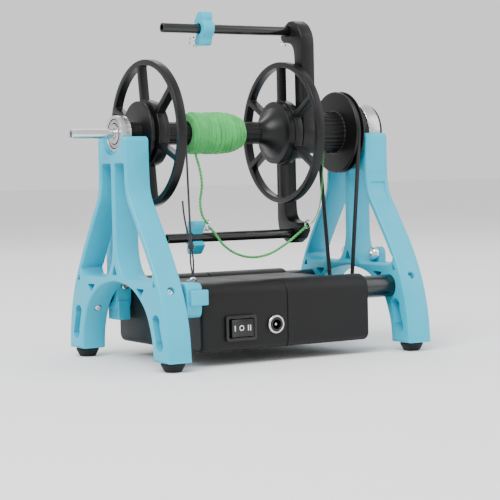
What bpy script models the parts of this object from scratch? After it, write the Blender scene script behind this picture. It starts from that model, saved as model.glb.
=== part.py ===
"""Electric table-top spinning wheel: two moulded legs on two tubes, a motor box, and a belt-driven flyer with its bobbin."""

import math

import bmesh
import bpy
from mathutils import Matrix, Vector

MM = 0.001
GAP = 0.3  # between touching pieces

# Main stations, in millimetres. X runs along the flyer's axis, -Y is the switch side, Z is up.
AXIS_Z = 139.5
LEFT_LEG = (-80.8, -64.8)
RIGHT_LEG = (90.2, 107.4)
FOOT_HEIGHT = 5.6
FOOT_Y = 57.0
TUBE_Y = 45.5
TUBE_Z = 41.0
TUBE_RADIUS = 7.0
TUBE_SPAN = (-77.2, 102.6)

# Bearings: (start, end, bore radius, outer radius)
LEFT_BEARING = (-79.1, -72.1, 3.25, 11.0)
RIGHT_BEARING = (96.2, 105.2, 10.0, 18.5)

# Housing
BOX_SPAN = (-51.5, 68.8)
BOX_SEAM = 8.3
BOX_BOTTOM = 8.6
BOX_TOP = 47.2
BULGE_RADIUS = 8.9
BOX_SIDE_Y = TUBE_Y + BULGE_RADIUS
END_WALL = 2.2
SKIN = 1.5
SWITCH_X = -25.4
SWITCH_Z = 22.3
SOCKET_X = -0.9
SOCKET_Z = 23.0
PEDAL_X = -30.0

# Drive
MOTOR_Z = 30.0
MOTOR_RADIUS = 14.6
MOTOR_SPAN = (16.0, 66.3)
BELT_X = 84.5
BELT_RADIUS = 1.3
WHORL_BELT_RADIUS = 24.1
PULLEY_BELT_RADIUS = 11.0

# Flyer
SHAFT_SPAN = (-107.4, 60.0)
SHAFT_RADIUS = 2.95
ARM_SPAN = (46.7, 56.2)
ROD_OFFSET = 64.7
ROD_RADIUS = 3.0
ROD_SPAN = (-44.3, 55.8)
HUB_SPAN = (56.5, 81.2)
HUB_RADIUS = 13.5
ORIFICE_RADIUS = 8.0
WINDOW_X = 73.0
WINDOW_RADIUS = 5.5

# Bobbin
FLANGE_RADIUS = 45.0
RIM_WIDTH = 3.6
SPOKE_WIDTH = 4.6
SPOKES = 6
LEFT_FLANGE_LEAN = -8
LEFT_FLANGE = (-58.6, -53.1)
RIGHT_FLANGE = (38.7, 44.2)
DRUM_RADIUS = 19.75
CORE_RADIUS = 7.0
BORE_RADIUS = SHAFT_RADIUS + GAP

# Hooks, brake and thread
UPPER_HOOK_X = -18.8
LOWER_HOOK_X = -27.5
HOOK_LENGTH = 7.5
CORD_RADIUS = 0.7
CORD_X = -33.8
THICK_YARN = 0.9
THIN_YARN = 0.45

BLUE = (0.16, 0.66, 0.78, 1.0)
BLACK = (0.025, 0.025, 0.028, 1.0)
STEEL = (0.75, 0.75, 0.76, 1.0)
RUBBER = (0.015, 0.015, 0.017, 1.0)
YARN = (0.12, 0.42, 0.16, 1.0)
GREEN_BOARD = (0.03, 0.16, 0.06, 1.0)
GREY = (0.35, 0.35, 0.36, 1.0)


# ---------------------------------------------------------------- scene and materials


def clear_scene():
    for obj in list(bpy.data.objects):
        bpy.data.objects.remove(obj, do_unlink=True)


def new_collection(name):
    made = bpy.data.collections.new(name)
    bpy.context.scene.collection.children.link(made)
    return made


clear_scene()
PARTS = new_collection("spinning_wheel")
CUTTERS = new_collection("cutters")


def material(name, colour, roughness, metallic):
    made = bpy.data.materials.new(name)
    made.use_nodes = True
    shader = made.node_tree.nodes["Principled BSDF"]
    shader.inputs["Base Color"].default_value = colour
    shader.inputs["Roughness"].default_value = roughness
    shader.inputs["Metallic"].default_value = metallic
    return made


BLUE_PLASTIC = material("blue_plastic", BLUE, 0.45, 0.0)
BLACK_PLASTIC = material("black_plastic", BLACK, 0.4, 0.0)
PAINTED_TUBE = material("painted_tube", BLACK, 0.35, 0.0)
POLISHED_STEEL = material("polished_steel", STEEL, 0.2, 1.0)
FOOT_RUBBER = material("foot_rubber", RUBBER, 0.8, 0.0)
BELT_RUBBER = material("belt_rubber", RUBBER, 0.6, 0.0)
GREEN_YARN = material("green_yarn", YARN, 0.9, 0.0)
BRAKE_STRING = material("brake_string", RUBBER, 0.8, 0.0)
BOARD = material("circuit_board", GREEN_BOARD, 0.5, 0.0)
MOTOR_CAN = material("motor_can", GREY, 0.35, 0.9)


# ---------------------------------------------------------------- shape helpers


def place(obj, finish, is_cutter=False):
    """Puts an object in its collection, with its material and smooth shading on its round faces."""
    for owner in list(obj.users_collection):
        owner.objects.unlink(obj)
    (CUTTERS if is_cutter else PARTS).objects.link(obj)
    if is_cutter:
        obj.hide_render = True
        obj.display_type = "WIRE"
        return obj
    obj.data.materials.clear()
    obj.data.materials.append(finish)
    return obj


def mesh_object(name, mesh, finish, is_cutter=False):
    obj = bpy.data.objects.new(name, mesh)
    return place(obj, finish, is_cutter)


def box(name, low, high, finish, is_cutter=False):
    mesh = bpy.data.meshes.new(name)
    shape = bmesh.new()
    size = [(b - a) * MM for a, b in zip(low, high)]
    middle = [(a + b) * MM / 2 for a, b in zip(low, high)]
    matrix = Matrix.Translation(middle) @ Matrix.Diagonal((*size, 1.0))
    bmesh.ops.create_cube(shape, size=1.0, matrix=matrix)
    shape.to_mesh(mesh)
    shape.free()
    return mesh_object(name, mesh, finish, is_cutter)


def facing(direction):
    """The rotation that turns +Z to a direction."""
    return Vector(direction).to_track_quat("Z", "Y").to_matrix().to_4x4()


def rod(name, start, end, radius, finish, is_cutter=False, sides=16):
    """A plain cylinder from one point to another."""
    mesh = bpy.data.meshes.new(name)
    shape = bmesh.new()
    a = Vector(start) * MM
    b = Vector(end) * MM
    bmesh.ops.create_cone(
        shape,
        cap_ends=True,
        segments=sides,
        radius1=radius * MM,
        radius2=radius * MM,
        depth=(b - a).length,
        matrix=Matrix.Translation((a + b) / 2) @ facing(b - a),
    )
    shape.to_mesh(mesh)
    shape.free()
    return mesh_object(name, mesh, finish, is_cutter)


AXIS_ROTATIONS = {
    "X": Matrix.Rotation(math.pi / 2, 4, "Y"),
    "Y": Matrix.Rotation(-math.pi / 2, 4, "X"),
    "Z": Matrix.Identity(4),
}


def turned(name, profile, finish, centre=(0, 0, AXIS_Z), axis="X", sides=26, is_cutter=False):
    """Turns (station, radius) points about an axis. They run up the outside, then back down any bore."""
    mesh = bpy.data.meshes.new(name)
    shape = bmesh.new()
    points = [shape.verts.new((radius * MM, 0, station * MM)) for station, radius in reversed(profile)]
    for first, second in zip(points, points[1:]):
        shape.edges.new((first, second))
    if profile[0][1] > 0:
        shape.edges.new((points[-1], points[0]))
    shape.to_mesh(mesh)
    shape.free()
    obj = mesh_object(name, mesh, finish, is_cutter)
    obj.matrix_world = Matrix.Translation(Vector(centre) * MM) @ AXIS_ROTATIONS[axis]
    screw = obj.modifiers.new("turn", "SCREW")
    screw.steps = sides
    screw.render_steps = sides
    screw.use_merge_vertices = True
    screw.merge_threshold = 0.00001
    screw.use_smooth_shade = False
    return obj


def ring(name, start, end, inner, outer, finish, chamfer=0.4, **where):
    """A turned ring with small chamfers on its outer edges."""
    profile = [
        (start, outer - chamfer),
        (start + chamfer, outer),
        (end - chamfer, outer),
        (end, outer - chamfer),
        (end, inner),
        (start, inner),
    ]
    return turned(name, profile, finish, **where)


def curve_to_mesh(curve_object, name):
    """Replaces a curve by the closed mesh that it draws."""
    bpy.context.scene.collection.objects.link(curve_object)
    bpy.context.view_layer.update()
    graph = bpy.context.evaluated_depsgraph_get()
    mesh = bpy.data.meshes.new_from_object(curve_object.evaluated_get(graph))
    matrix = curve_object.matrix_world.copy()
    shape = bmesh.new()
    shape.from_mesh(mesh)
    bmesh.ops.remove_doubles(shape, verts=shape.verts, dist=0.000001)
    bmesh.ops.recalc_face_normals(shape, faces=shape.faces)
    shape.to_mesh(mesh)
    shape.free()
    bpy.data.objects.remove(curve_object, do_unlink=True)
    mesh.name = name
    return mesh, matrix


# A plate's outline is drawn in two axes and its thickness runs along the third.
PLATES = {
    "X": Matrix(((0, 0, 1, 0), (1, 0, 0, 0), (0, 1, 0, 0), (0, 0, 0, 1))),
    "Z": Matrix.Identity(4),
}


def plate(name, loops, start, end, finish, axis="X", is_cutter=False):
    """An outline with any holes, as a flat piece from start to end along its axis."""
    curve = bpy.data.curves.new(name, "CURVE")
    curve.dimensions = "2D"
    curve.fill_mode = "BOTH"
    curve.extrude = (end - start) / 2 * MM
    for loop in loops:
        spline = curve.splines.new("POLY")
        spline.points.add(len(loop) - 1)
        for point, (across, up) in zip(spline.points, loop):
            point.co = (across * MM, up * MM, 0, 1)
        spline.use_cyclic_u = True
    drawn = bpy.data.objects.new(name + "_outline", curve)
    turn = PLATES[axis]
    drawn.matrix_world = Matrix.Translation(turn @ Vector((0, 0, (start + end) / 2 * MM))) @ turn
    mesh, matrix = curve_to_mesh(drawn, name)
    obj = mesh_object(name, mesh, finish, is_cutter)
    obj.matrix_world = matrix
    return obj


def wire(name, points, radius, finish, closed=False, resolution=2, is_cutter=False):
    """A round wire, cord or strand through the points given."""
    curve = bpy.data.curves.new(name, "CURVE")
    curve.dimensions = "3D"
    curve.bevel_depth = radius * MM
    curve.bevel_resolution = resolution
    curve.use_fill_caps = not closed
    spline = curve.splines.new("POLY")
    spline.points.add(len(points) - 1)
    for point, place_mm in zip(spline.points, points):
        point.co = (*(Vector(place_mm) * MM), 1)
    spline.use_cyclic_u = closed
    mesh, matrix = curve_to_mesh(bpy.data.objects.new(name + "_path", curve), name)
    obj = mesh_object(name, mesh, finish, is_cutter)
    obj.matrix_world = matrix
    return obj


def boolean(obj, other, operation):
    modifier = obj.modifiers.new(other.name, "BOOLEAN")
    modifier.operation = operation
    modifier.solver = "EXACT"
    modifier.object = other


def cut(obj, *cutters):
    for cutter in cutters:
        boolean(obj, cutter, "DIFFERENCE")


def fuse(obj, *others):
    for other in others:
        boolean(obj, other, "UNION")


def set_joint_origin(obj, origin):
    """Moves an object's origin to a point on its joint's axis, leaving its shape where it is."""
    target = Vector(origin) * MM
    shift = obj.matrix_world.inverted() @ Matrix.Translation(target)
    rotation = shift.to_3x3().to_4x4()
    local = Matrix.Translation(shift.translation) @ rotation @ rotation.inverted()
    obj.data.transform(local.inverted())
    obj.matrix_world = obj.matrix_world @ local


# ---------------------------------------------------------------- outline helpers


def arc(centre, radius, start, end, steps):
    """Points on an arc, angles in degrees."""
    found = []
    for i in range(steps + 1):
        angle = math.radians(start + (end - start) * i / steps)
        found.append((centre[0] + radius * math.cos(angle), centre[1] + radius * math.sin(angle)))
    return found


def smooth(points, per_span=4):
    """A Catmull-Rom curve through points of two or three coordinates."""
    padded = [points[0], *points, points[-1]]
    found = []
    for a, b, c, d in zip(padded, padded[1:], padded[2:], padded[3:]):
        for i in range(per_span):
            t = i / per_span
            found.append(
                tuple(
                    0.5 * (2 * q + (r - p) * t + (2 * p - 5 * q + 4 * r - s) * t**2 + (3 * q - p - 3 * r + s) * t**3)
                    for p, q, r, s in zip(a, b, c, d)
                )
            )
    return [*found, tuple(points[-1])]


def inset(points, distance):
    """The line a distance to the right of a line of points."""
    found = []
    for i, point in enumerate(points):
        before = Vector(points[max(i - 1, 0)])
        after = Vector(points[min(i + 1, len(points) - 1)])
        along = (after - before).normalized()
        found.append((point[0] + along.y * distance, point[1] - along.x * distance))
    return found


def mirrored(points):
    """The points of the other side of the centre line, in reverse order."""
    return [(-across, up) for across, up in reversed(points)]


def turned_round(points):
    return [(-across, -up) for across, up in points]


# ---------------------------------------------------------------- legs and frame

# One side of each leg, from its shoulder down to its foot.
LEFT_SIDE = [(18.8, 116), (20.8, 102.5), (31, 87.5), (46.5, 65), (57.3, 46), (63.8, 26), (66.2, FOOT_HEIGHT)]
RIGHT_SIDE = [(22.8, 116), (24.9, 101), (34.5, 86.5), (49, 65), (58.3, 46), (64, 26), (66.2, FOOT_HEIGHT)]
ARCH = [(47.5, FOOT_HEIGHT), (45.5, 19.8), (37.5, 35.5), (21, 46.8), (0, 50.6)]
WALL = 3.7
RIB_HALF = 2.3
LEFT_POCKET_TOP = 121.5
RIGHT_POCKET_TOP = 114.5
POCKET_FLOOR = 52.6
FLARE_RADIUS = 13.4
FLARE_STRETCH = 1.6


def leg_outline(side, top, notch_radius, arch_rise):
    """The outer edge of a leg, anticlockwise from the middle of its notch."""
    width = side[0][0]
    drop = AXIS_Z - top
    mouth = math.degrees(math.asin(drop / notch_radius))
    notch = arc((0, AXIS_Z), notch_radius, -mouth, -90, 10)
    corner = arc((width - 2.5, top - 2.5), 2.5, 90, 0, 4)
    arch = [(y, z + arch_rise * (z - FOOT_HEIGHT) / 45) for y, z in smooth(ARCH, 3)]
    half = [*reversed(notch), *corner, *smooth(side, 3), *arch]
    return [*half, *mirrored(half)[1:-1]]


def leg_pocket(side, ceiling, floor):
    """The long opening beside the centre rib."""
    outer = [p for p in inset(smooth(side, 3), WALL) if floor + 6 < p[1] < ceiling - 3]
    width = outer[0][0]
    foot = outer[-1][0]
    top = [*arc((RIB_HALF + 2, ceiling - 2), 2, 180, 90, 3), *arc((width - 2, ceiling - 2), 2, 90, 0, 3)]
    corner = arc((foot - 2.4, floor + 4.5), 4.5, 0, -90, 4)
    middle = (RIB_HALF + FLARE_RADIUS, floor + FLARE_RADIUS * FLARE_STRETCH)
    flare = [(y, middle[1] + (z - middle[1]) * FLARE_STRETCH) for y, z in arc(middle, FLARE_RADIUS, -90, -180, 6)]
    return [*top, *outer, *corner, *flare]


def leg_recesses(rise):
    """The blind moulding recesses of one side: two triangles by the crossbar and the slot of the strut."""
    slot_top = (52.3, 28.6)
    slot_foot = (56.3, 16.4)
    slot = [*arc(slot_top, 3.8, -18, 162, 8), *arc(slot_foot, 3.8, 162, 342, 8)]
    corner = [(27.5, 47.6 + rise), (33.0, 42.2 + rise), (38.3, 47.4 + rise)]
    small = [(49.0, 48.9 + rise), (52.6, 49.3 + rise), (49.4, 53.4 + rise)]
    return [slot, corner, small]


def tube_bore(name, y, start, end):
    return rod(name, (start, y, TUBE_Z), (end, y, TUBE_Z), TUBE_RADIUS + GAP, None, True, 24)


LUGS = {"front": -15.5, "rear": 15.5}
LUG_Z = 60.0

# Each tube end is held by a set screw: (where it starts, its direction in Y and Z)
SCREW_LINES = {"front": ((-57.6, 47.6), (0.88, -0.475)), "rear": ((38.6, 30.4), (0.83, 0.558))}
SCREW_LENGTH = 3.0


def screw_point(kind, x, distance):
    (y, z), (dy, dz) = SCREW_LINES[kind]
    return (x, y + dy * distance, z + dz * distance)


SCREW_DEPTH = {"front": 2.4, "rear": 1.7}


def leg(name, span, side, top, notch, ceiling, rise, outward):
    """A moulded leg. outward is -1 where the recesses open to -X on its outer face."""
    pocket = leg_pocket(side, ceiling, POCKET_FLOOR + rise)
    loops = [leg_outline(side, top, notch, rise), pocket, mirrored(pocket)]
    body = plate(name, loops, *span, BLUE_PLASTIC)
    recesses = leg_recesses(rise)
    recesses += [mirrored(loop) for loop in recesses]
    recesses.append([(-3.4, 54.2 + rise), (3.4, 54.2 + rise), (0, 60.8 + rise)])
    cutter = plate(name + "_recesses", recesses, span[0] - 1, span[0] + 11, None, is_cutter=True)
    inner = span[1] if outward < 0 else span[0]
    blind = inner + outward * 13.4
    bores = [
        tube_bore(f"{name}_bore_{kind}", y, *sorted((inner - outward, blind)))
        for kind, y in (("front", -TUBE_Y), ("rear", TUBE_Y))
    ]
    x = (span[0] + span[1]) / 2
    holes = [
        rod(f"{name}_screw_hole_{kind}", screw_point(kind, x, -3), screw_point(kind, x, 7.5), 1.9, None, True, 16)
        for kind in SCREW_LINES
    ]
    cut(body, cutter, *bores, *holes)
    return body


def bearing_seat(name, start, end, radius):
    return rod(name, (start, 0, AXIS_Z), (end, 0, AXIS_Z), radius, None, True, 32)


def build_legs():
    left = leg("left_leg", LEFT_LEG, LEFT_SIDE, 137.5, 9.0, LEFT_POCKET_TOP, 0.0, -1)
    cut(
        left,
        bearing_seat("left_seat", LEFT_LEG[0] - 1, LEFT_BEARING[1] + GAP, LEFT_BEARING[3] + GAP),
        bearing_seat("left_seat_mouth", LEFT_LEG[0] - 1, LEFT_BEARING[0], LEFT_BEARING[3] + 2.0),
    )
    right = leg("right_leg", RIGHT_LEG, RIGHT_SIDE, 138.5, 18.2, RIGHT_POCKET_TOP, 2.0, 1)
    cut(right, bearing_seat("right_seat", RIGHT_LEG[0] - 1, RIGHT_BEARING[1] + GAP, RIGHT_BEARING[3] + GAP))
    for kind, y in LUGS.items():
        outline = [(y - 4.4, LUG_Z - 9), (y + 4.4, LUG_Z - 9), *arc((y, LUG_Z), 4.4, 0, 180, 10)]
        fuse(right, plate(f"lug_{kind}", [outline], RIGHT_LEG[1] - 5.5, RIGHT_LEG[1] - 0.6, None, is_cutter=True))
        cut(right, rod(f"lug_hole_{kind}", (RIGHT_LEG[1] - 7, y, LUG_Z), (RIGHT_LEG[1] + 1, y, LUG_Z), 2.3, None, True, 16))


def build_fasteners():
    for leg_name, span in (("left", LEFT_LEG), ("right", RIGHT_LEG)):
        x = (span[0] + span[1]) / 2
        for kind in SCREW_LINES:
            depth = SCREW_DEPTH[kind]
            start = screw_point(kind, x, depth)
            end = screw_point(kind, x, depth + SCREW_LENGTH)
            rod(f"set_screw_{leg_name}_{kind}", start, end, 1.6, POLISHED_STEEL, sides=16)
    head = RIGHT_LEG[1] - 5.5 - GAP
    for kind, y in LUGS.items():
        profile = [(head - 3.6, 0), (head - 3.6, 3.4), (head - 2.4, 4.2), (head, 4.2), (head, 2.0), (head + 5.0, 2.0)]
        turned(f"leg_bolt_{kind}", [*profile, (head + 5.0, 0)], POLISHED_STEEL, (0, y, LUG_Z), sides=20)


def build_tubes():
    for kind, y in (("front", -TUBE_Y), ("rear", TUBE_Y)):
        ring(f"{kind}_tube", *TUBE_SPAN, TUBE_RADIUS - 1.2, TUBE_RADIUS, PAINTED_TUBE, centre=(0, y, TUBE_Z), sides=24)


def build_feet():
    profile = [(0, 0), (0, 4.6), (0.5, 5.2), (4.4, 7.2), (FOOT_HEIGHT - GAP, 7.2), (FOOT_HEIGHT - GAP, 0)]
    for leg_name, span in (("left", LEFT_LEG), ("right", RIGHT_LEG)):
        for kind, y in (("front", -FOOT_Y), ("rear", FOOT_Y)):
            x = (span[0] + span[1]) / 2
            turned(f"rubber_foot_{leg_name}_{kind}", profile, FOOT_RUBBER, (x, y, 0), "Z", 24)


# ---------------------------------------------------------------- housing and what it holds


def housing_outline(shrink, top, bulge):
    """The box's section: flat sides and bottom, and a round shoulder over each tube."""
    side = BOX_SIDE_Y - shrink
    floor = BOX_BOTTOM + (shrink and END_WALL)
    corner = 5.0 - shrink
    shoulder = 180 - math.degrees(math.asin((top - TUBE_Z) / bulge))
    half = [
        *arc((side - corner, floor + corner), corner, -90, 0, 3),
        *arc((TUBE_Y, TUBE_Z), bulge, 0, shoulder, 6),
    ]
    return [*half, *mirrored(half)]


def housing_half(name, start, end, wall_at):
    """One half of the box, open at the seam, with its end wall at wall_at."""
    body = plate(name, [housing_outline(0, BOX_TOP, BULGE_RADIUS)], start, end, BLACK_PLASTIC)
    inside = housing_outline(SKIN, BOX_TOP - 2.0, BULGE_RADIUS - SKIN)
    low = wall_at + END_WALL if wall_at == start else start - 1
    high = end + 1 if wall_at == start else wall_at - END_WALL
    cavity = plate(name + "_cavity", [inside], low, high, None, is_cutter=True)
    cut(body, cavity)
    for kind, y in (("front", -TUBE_Y), ("rear", TUBE_Y)):
        cut(body, tube_bore(f"{name}_bore_{kind}", y, wall_at - 4, wall_at + 4))
    return body


SEAM_SCREWS = {"left": (-1.7, 0), "right": (18.3, 0)}
MOTOR_SCREWS = {"front": -12.5, "rear": 12.5}


def build_housing():
    left = housing_half("left_housing", BOX_SPAN[0], BOX_SEAM - GAP / 2, BOX_SPAN[0])
    right = housing_half("right_housing", BOX_SEAM + GAP / 2, BOX_SPAN[1], BOX_SPAN[1])
    front = -BOX_SIDE_Y
    back = BOX_SIDE_Y
    cut(
        left,
        box("switch_cutout", (SWITCH_X - 9.8, front - 2, SWITCH_Z - 6.7), (SWITCH_X + 9.8, front + 4, SWITCH_Z + 6.7), None, True),
        rod("socket_hole", (SOCKET_X, front - 2, SOCKET_Z), (SOCKET_X, front + 4, SOCKET_Z), 4.3, None, True),
        rod("pedal_hole", (PEDAL_X, back - 4, SOCKET_Z), (PEDAL_X, back + 2, SOCKET_Z), 4.3, None, True),
    )
    cut(right, rod("shaft_hole", (60, 0, MOTOR_Z), (72, 0, MOTOR_Z), 6.5, None, True))
    for kind, y in MOTOR_SCREWS.items():
        cut(right, rod(f"motor_screw_hole_{kind}", (62, y, MOTOR_Z), (72, y, MOTOR_Z), 1.9, None, True, 16))
    for kind, (x, y) in SEAM_SCREWS.items():
        body = left if kind == "left" else right
        hole = [(BOX_BOTTOM - 1, 3.3), (BOX_BOTTOM + 1.0, 3.3), (BOX_BOTTOM + 1.0, 1.8), (BOX_BOTTOM + 3, 1.8)]
        profile = [(hole[0][0], 0), *hole, (hole[-1][0], 0)]
        cut(body, turned(f"seam_hole_{kind}", profile, None, (x, y, 0), "Z", 24, True))


def build_seam_strip():
    floor = BOX_BOTTOM + END_WALL + GAP
    strip = box("seam_strip", (-6, -34, floor), (22.5, 34, floor + 1.6), POLISHED_STEEL)
    for kind, (x, y) in SEAM_SCREWS.items():
        cut(strip, rod(f"strip_hole_{kind}", (x, y, floor - 1), (x, y, floor + 3), 1.8, None, True, 16))
        head = BOX_BOTTOM + 0.1
        profile = [(head, 0), (head, 2.9), (head + 0.7, 2.9), (head + 0.7, 1.4), (head + 5.2, 1.4), (head + 5.2, 0)]
        turned(f"seam_screw_{kind}", profile, POLISHED_STEEL, (x, y, 0), "Z", 20)


def build_motor():
    start, end = MOTOR_SPAN
    profile = [
        (start, 0), (start, 5), (start + 2, 5), (start + 2, MOTOR_RADIUS - 1), (start + 3, MOTOR_RADIUS),
        (end - 1, MOTOR_RADIUS), (end, MOTOR_RADIUS - 1), (end, 6.0), (end + 2.2, 6.0), (end + 2.2, 2.9),
        (end - 8, 2.9), (end - 8, 0),
    ]
    motor = turned("motor", profile, MOTOR_CAN, (0, 0, MOTOR_Z), sides=24)
    for kind, y in MOTOR_SCREWS.items():
        cut(motor, rod(f"motor_thread_{kind}", (end - 4, y, MOTOR_Z), (end + 1, y, MOTOR_Z), 1.9, None, True, 16))
        outside = BOX_SPAN[1] + GAP
        screw = [(end - 3, 0), (end - 3, 1.5), (outside, 1.5), (outside, 2.8), (outside + 1.8, 2.4), (outside + 1.8, 0)]
        turned(f"motor_screw_{kind}", screw, POLISHED_STEEL, (0, y, MOTOR_Z), sides=20)
    shaft = turned("motor_shaft", [(end - 7.7, 0), (end - 7.7, 2.5), (89.2, 2.5), (89.2, 0)], POLISHED_STEEL, (0, 0, MOTOR_Z), sides=24)
    groove = PULLEY_BELT_RADIUS - BELT_RADIUS - GAP
    pulley = [
        (80.8, 6.0), (81.6, 12.6), (82.4, 12.6), (BELT_X - 1.7, groove), (BELT_X + 1.7, groove), (86.6, 12.6),
        (87.4, 12.6), (88.2, 6.0), (88.2, 2.8), (80.8, 2.8),
    ]
    turned("drive_pulley", pulley, BLACK_PLASTIC, (0, 0, MOTOR_Z), sides=26)
    return shaft


def build_electronics():
    board = box("circuit_board", (-44, -30, 16.0), (2, 34, 17.6), BOARD)
    parts = [
        box("chip", (-30, -8, 17.2), (-18, 4, 20.5), None, True),
        box("terminal", (-10, 14, 17.2), (0, 30, 26), None, True),
        rod("capacitor", (-36, 20, 17.2), (-36, 20, 30), 5, None, True, 20),
        rod("post_a", (-41, -26, BOX_BOTTOM + END_WALL + GAP), (-41, -26, 16.4), 2.5, None, True, 16),
        rod("post_b", (-41, 30, BOX_BOTTOM + END_WALL + GAP), (-41, 30, 16.4), 2.5, None, True, 16),
        rod("post_c", (-12, -26, BOX_BOTTOM + END_WALL + GAP), (-12, -26, 16.4), 2.5, None, True, 16),
    ]
    fuse(board, *parts)


def build_switch():
    front = -BOX_SIDE_Y
    frame = box("switch_frame", (SWITCH_X - 9.5, front - 0.6, SWITCH_Z - 6.4), (SWITCH_X + 9.5, front + 13, SWITCH_Z + 6.4), BLACK_PLASTIC)
    lip = box("switch_lip", (SWITCH_X - 10.6, front - 1.9, SWITCH_Z - 7.6), (SWITCH_X + 10.6, front - GAP, SWITCH_Z + 7.6), None, True)
    fuse(frame, lip)
    well = box("switch_well", (SWITCH_X - 8.5, front - 3, SWITCH_Z - 5.6), (SWITCH_X + 8.5, front + 6.4, SWITCH_Z + 5.6), None, True)
    cut(frame, well)
    pivot = front + 1.2
    outline = [(-7.4, -4.3), (0, -2.9), (7.4, -4.3), (7.2, -1.0), (3.2, 3.4), (-3.2, 3.4), (-7.2, -1.0)]
    loop = [(SWITCH_X + x, pivot + y) for x, y in outline]
    rocker = plate("rocker", [loop], SWITCH_Z - 5.2, SWITCH_Z + 5.2, BLACK_PLASTIC, axis="Z")
    set_joint_origin(rocker, (SWITCH_X, pivot, SWITCH_Z))


def build_sockets():
    """The power socket has a nut outside, a sleeve through the wall and a centre pin. The pedal's socket is one piece."""
    where = {"centre": (SOCKET_X, -BOX_SIDE_Y, SOCKET_Z), "axis": "Y", "sides": 22}
    nut = [(-1.9, 4.4), (-1.9, 5.0), (-1.5, 5.6), (-GAP, 5.6), (-GAP, 4.4)]
    turned("power_socket_nut", nut, POLISHED_STEEL, **where)
    sleeve = [(-2.1, 2.9), (-2.1, 4.0), (11, 4.0), (11, 0), (8, 0), (8, 2.9)]
    turned("power_socket_sleeve", sleeve[:3] + [(11, 0), (8, 0), (8, 2.9)], BLACK_PLASTIC, **where)
    pin = [(-1.0, 0), (-1.0, 0.6), (-0.6, 1.0), (8 - GAP, 1.0), (8 - GAP, 0)]
    turned("power_socket_pin", pin, POLISHED_STEEL, **where)
    pedal = [(-9, 0), (-9, 4.0), (GAP, 4.0), (GAP, 5.4), (1.6, 5.4), (1.9, 5.1), (1.9, 2.2), (-7, 2.2), (-7, 0)]
    turned("pedal_socket", pedal, BLACK_PLASTIC, (PEDAL_X, BOX_SIDE_Y, SOCKET_Z), "Y", 22)


# ---------------------------------------------------------------- bearings and flyer


def build_bearing(side, start, end, bore, outer, race):
    """The outer ring carries the seals, which come close to the inner ring."""
    lip = bore + race + GAP
    profile = [
        (start, outer - 0.5), (start + 0.5, outer), (end - 0.5, outer), (end, outer - 0.5), (end, outer - race),
        (end - 0.5, outer - race), (end - 0.5, lip), (start + 0.5, lip), (start + 0.5, outer - race), (start, outer - race),
    ]
    turned(f"{side}_bearing_outer", profile, POLISHED_STEEL)
    ring(f"{side}_bearing_inner", start, end, bore, bore + race, POLISHED_STEEL, 0.3)


def build_shaft():
    ring("flyer_shaft", *SHAFT_SPAN, 1.9, SHAFT_RADIUS, POLISHED_STEEL, sides=24)


def arm_half():
    """Half of the flyer arm's outline about the axis, clockwise: the upper bar with its knuckle, then the hub."""
    hub = 17.0
    outer = [(-16.5, 4.1), (-16.5, 54)]
    outer += smooth([(-16.5, 56), (-15.2, 62), (-11, 67.8), (-5.5, 70.9)], 3)
    knuckle = [(-1.0, 70.9), (5.2, 67.6), (8.4, 63.0), (8.4, 60.2), (5.4, 57.6)]
    inner = smooth([(1.4, 57.4), (-3.6, 55.8), (-6.4, 52), (-7.2, 46)], 3)
    start = math.degrees(math.atan2(15.4, -7.2))
    return [*outer, *knuckle, *inner, *arc((0, 0), hub, start, -13, 10)]


def build_arm():
    half = arm_half()
    outline = [*half, *turned_round(half)]
    loops = [[(y, z + AXIS_Z) for y, z in outline]]
    for offset, radius, sides in ((0, SHAFT_RADIUS + GAP, 28), (ROD_OFFSET, ROD_RADIUS + GAP, 20), (-ROD_OFFSET, ROD_RADIUS + GAP, 20)):
        loops.append(arc((0, AXIS_Z + offset), radius, 0, 360 * (sides - 1) / sides, sides - 1))
    plate("flyer_arm", loops, *ARM_SPAN, BLACK_PLASTIC)
    for name, offset in (("upper_rod", ROD_OFFSET), ("lower_rod", -ROD_OFFSET)):
        ring(name, *ROD_SPAN, ROD_RADIUS - 1.0, ROD_RADIUS, PAINTED_TUBE, 0.3, centre=(0, 0, AXIS_Z + offset), sides=20)


def build_whorl():
    """The barrel, the belt's groove and the sleeve in the right bearing are one moulding, with the orifice's bore."""
    start, end = HUB_SPAN
    groove = WHORL_BELT_RADIUS - BELT_RADIUS - GAP
    profile = [
        (start, HUB_RADIUS - 0.8), (start + 0.8, HUB_RADIUS), (end, HUB_RADIUS), (end, 25.8), (end + 0.7, 26.4), (82.6, 26.4),
        (BELT_X - 1.7, groove), (BELT_X + 1.7, groove), (86.4, 26.4), (86.9, 26.4), (87.5, 25.8), (87.5, 17.9), (89.6, 17.9),
        (90.4, 16.2), (91.6, 16.2), (92.4, 17.9), (95.9, 17.9), (95.9, 9.7), (105.2, 9.7), (105.2, ORIFICE_RADIUS),
        (start + 6, ORIFICE_RADIUS), (start + 6, SHAFT_RADIUS + GAP), (start, SHAFT_RADIUS + GAP),
    ]
    whorl = turned("drive_whorl", profile, BLACK_PLASTIC)
    cut(whorl, rod("whorl_windows", (WINDOW_X, 0, AXIS_Z - 20), (WINDOW_X, 0, AXIS_Z + 20), WINDOW_RADIUS, None, True, 24))
    ring("orifice_ring", 105.5, 107.4, ORIFICE_RADIUS, 17.5, BLACK_PLASTIC, 0.5)


def eye_wire(name, centre, radius, tail, finish=POLISHED_STEEL):
    """A wire eye in the plane across the flyer's axis, ending in a straight tail."""
    x, y, z = centre
    loop = [(x, y + radius * math.sin(a), z - radius * math.cos(a)) for a in [math.radians(12 + 336 * i / 15) for i in range(16)]]
    wire(name, [tail, (x, tail[1], tail[2]), *loop], 0.45, finish, resolution=1)


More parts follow.
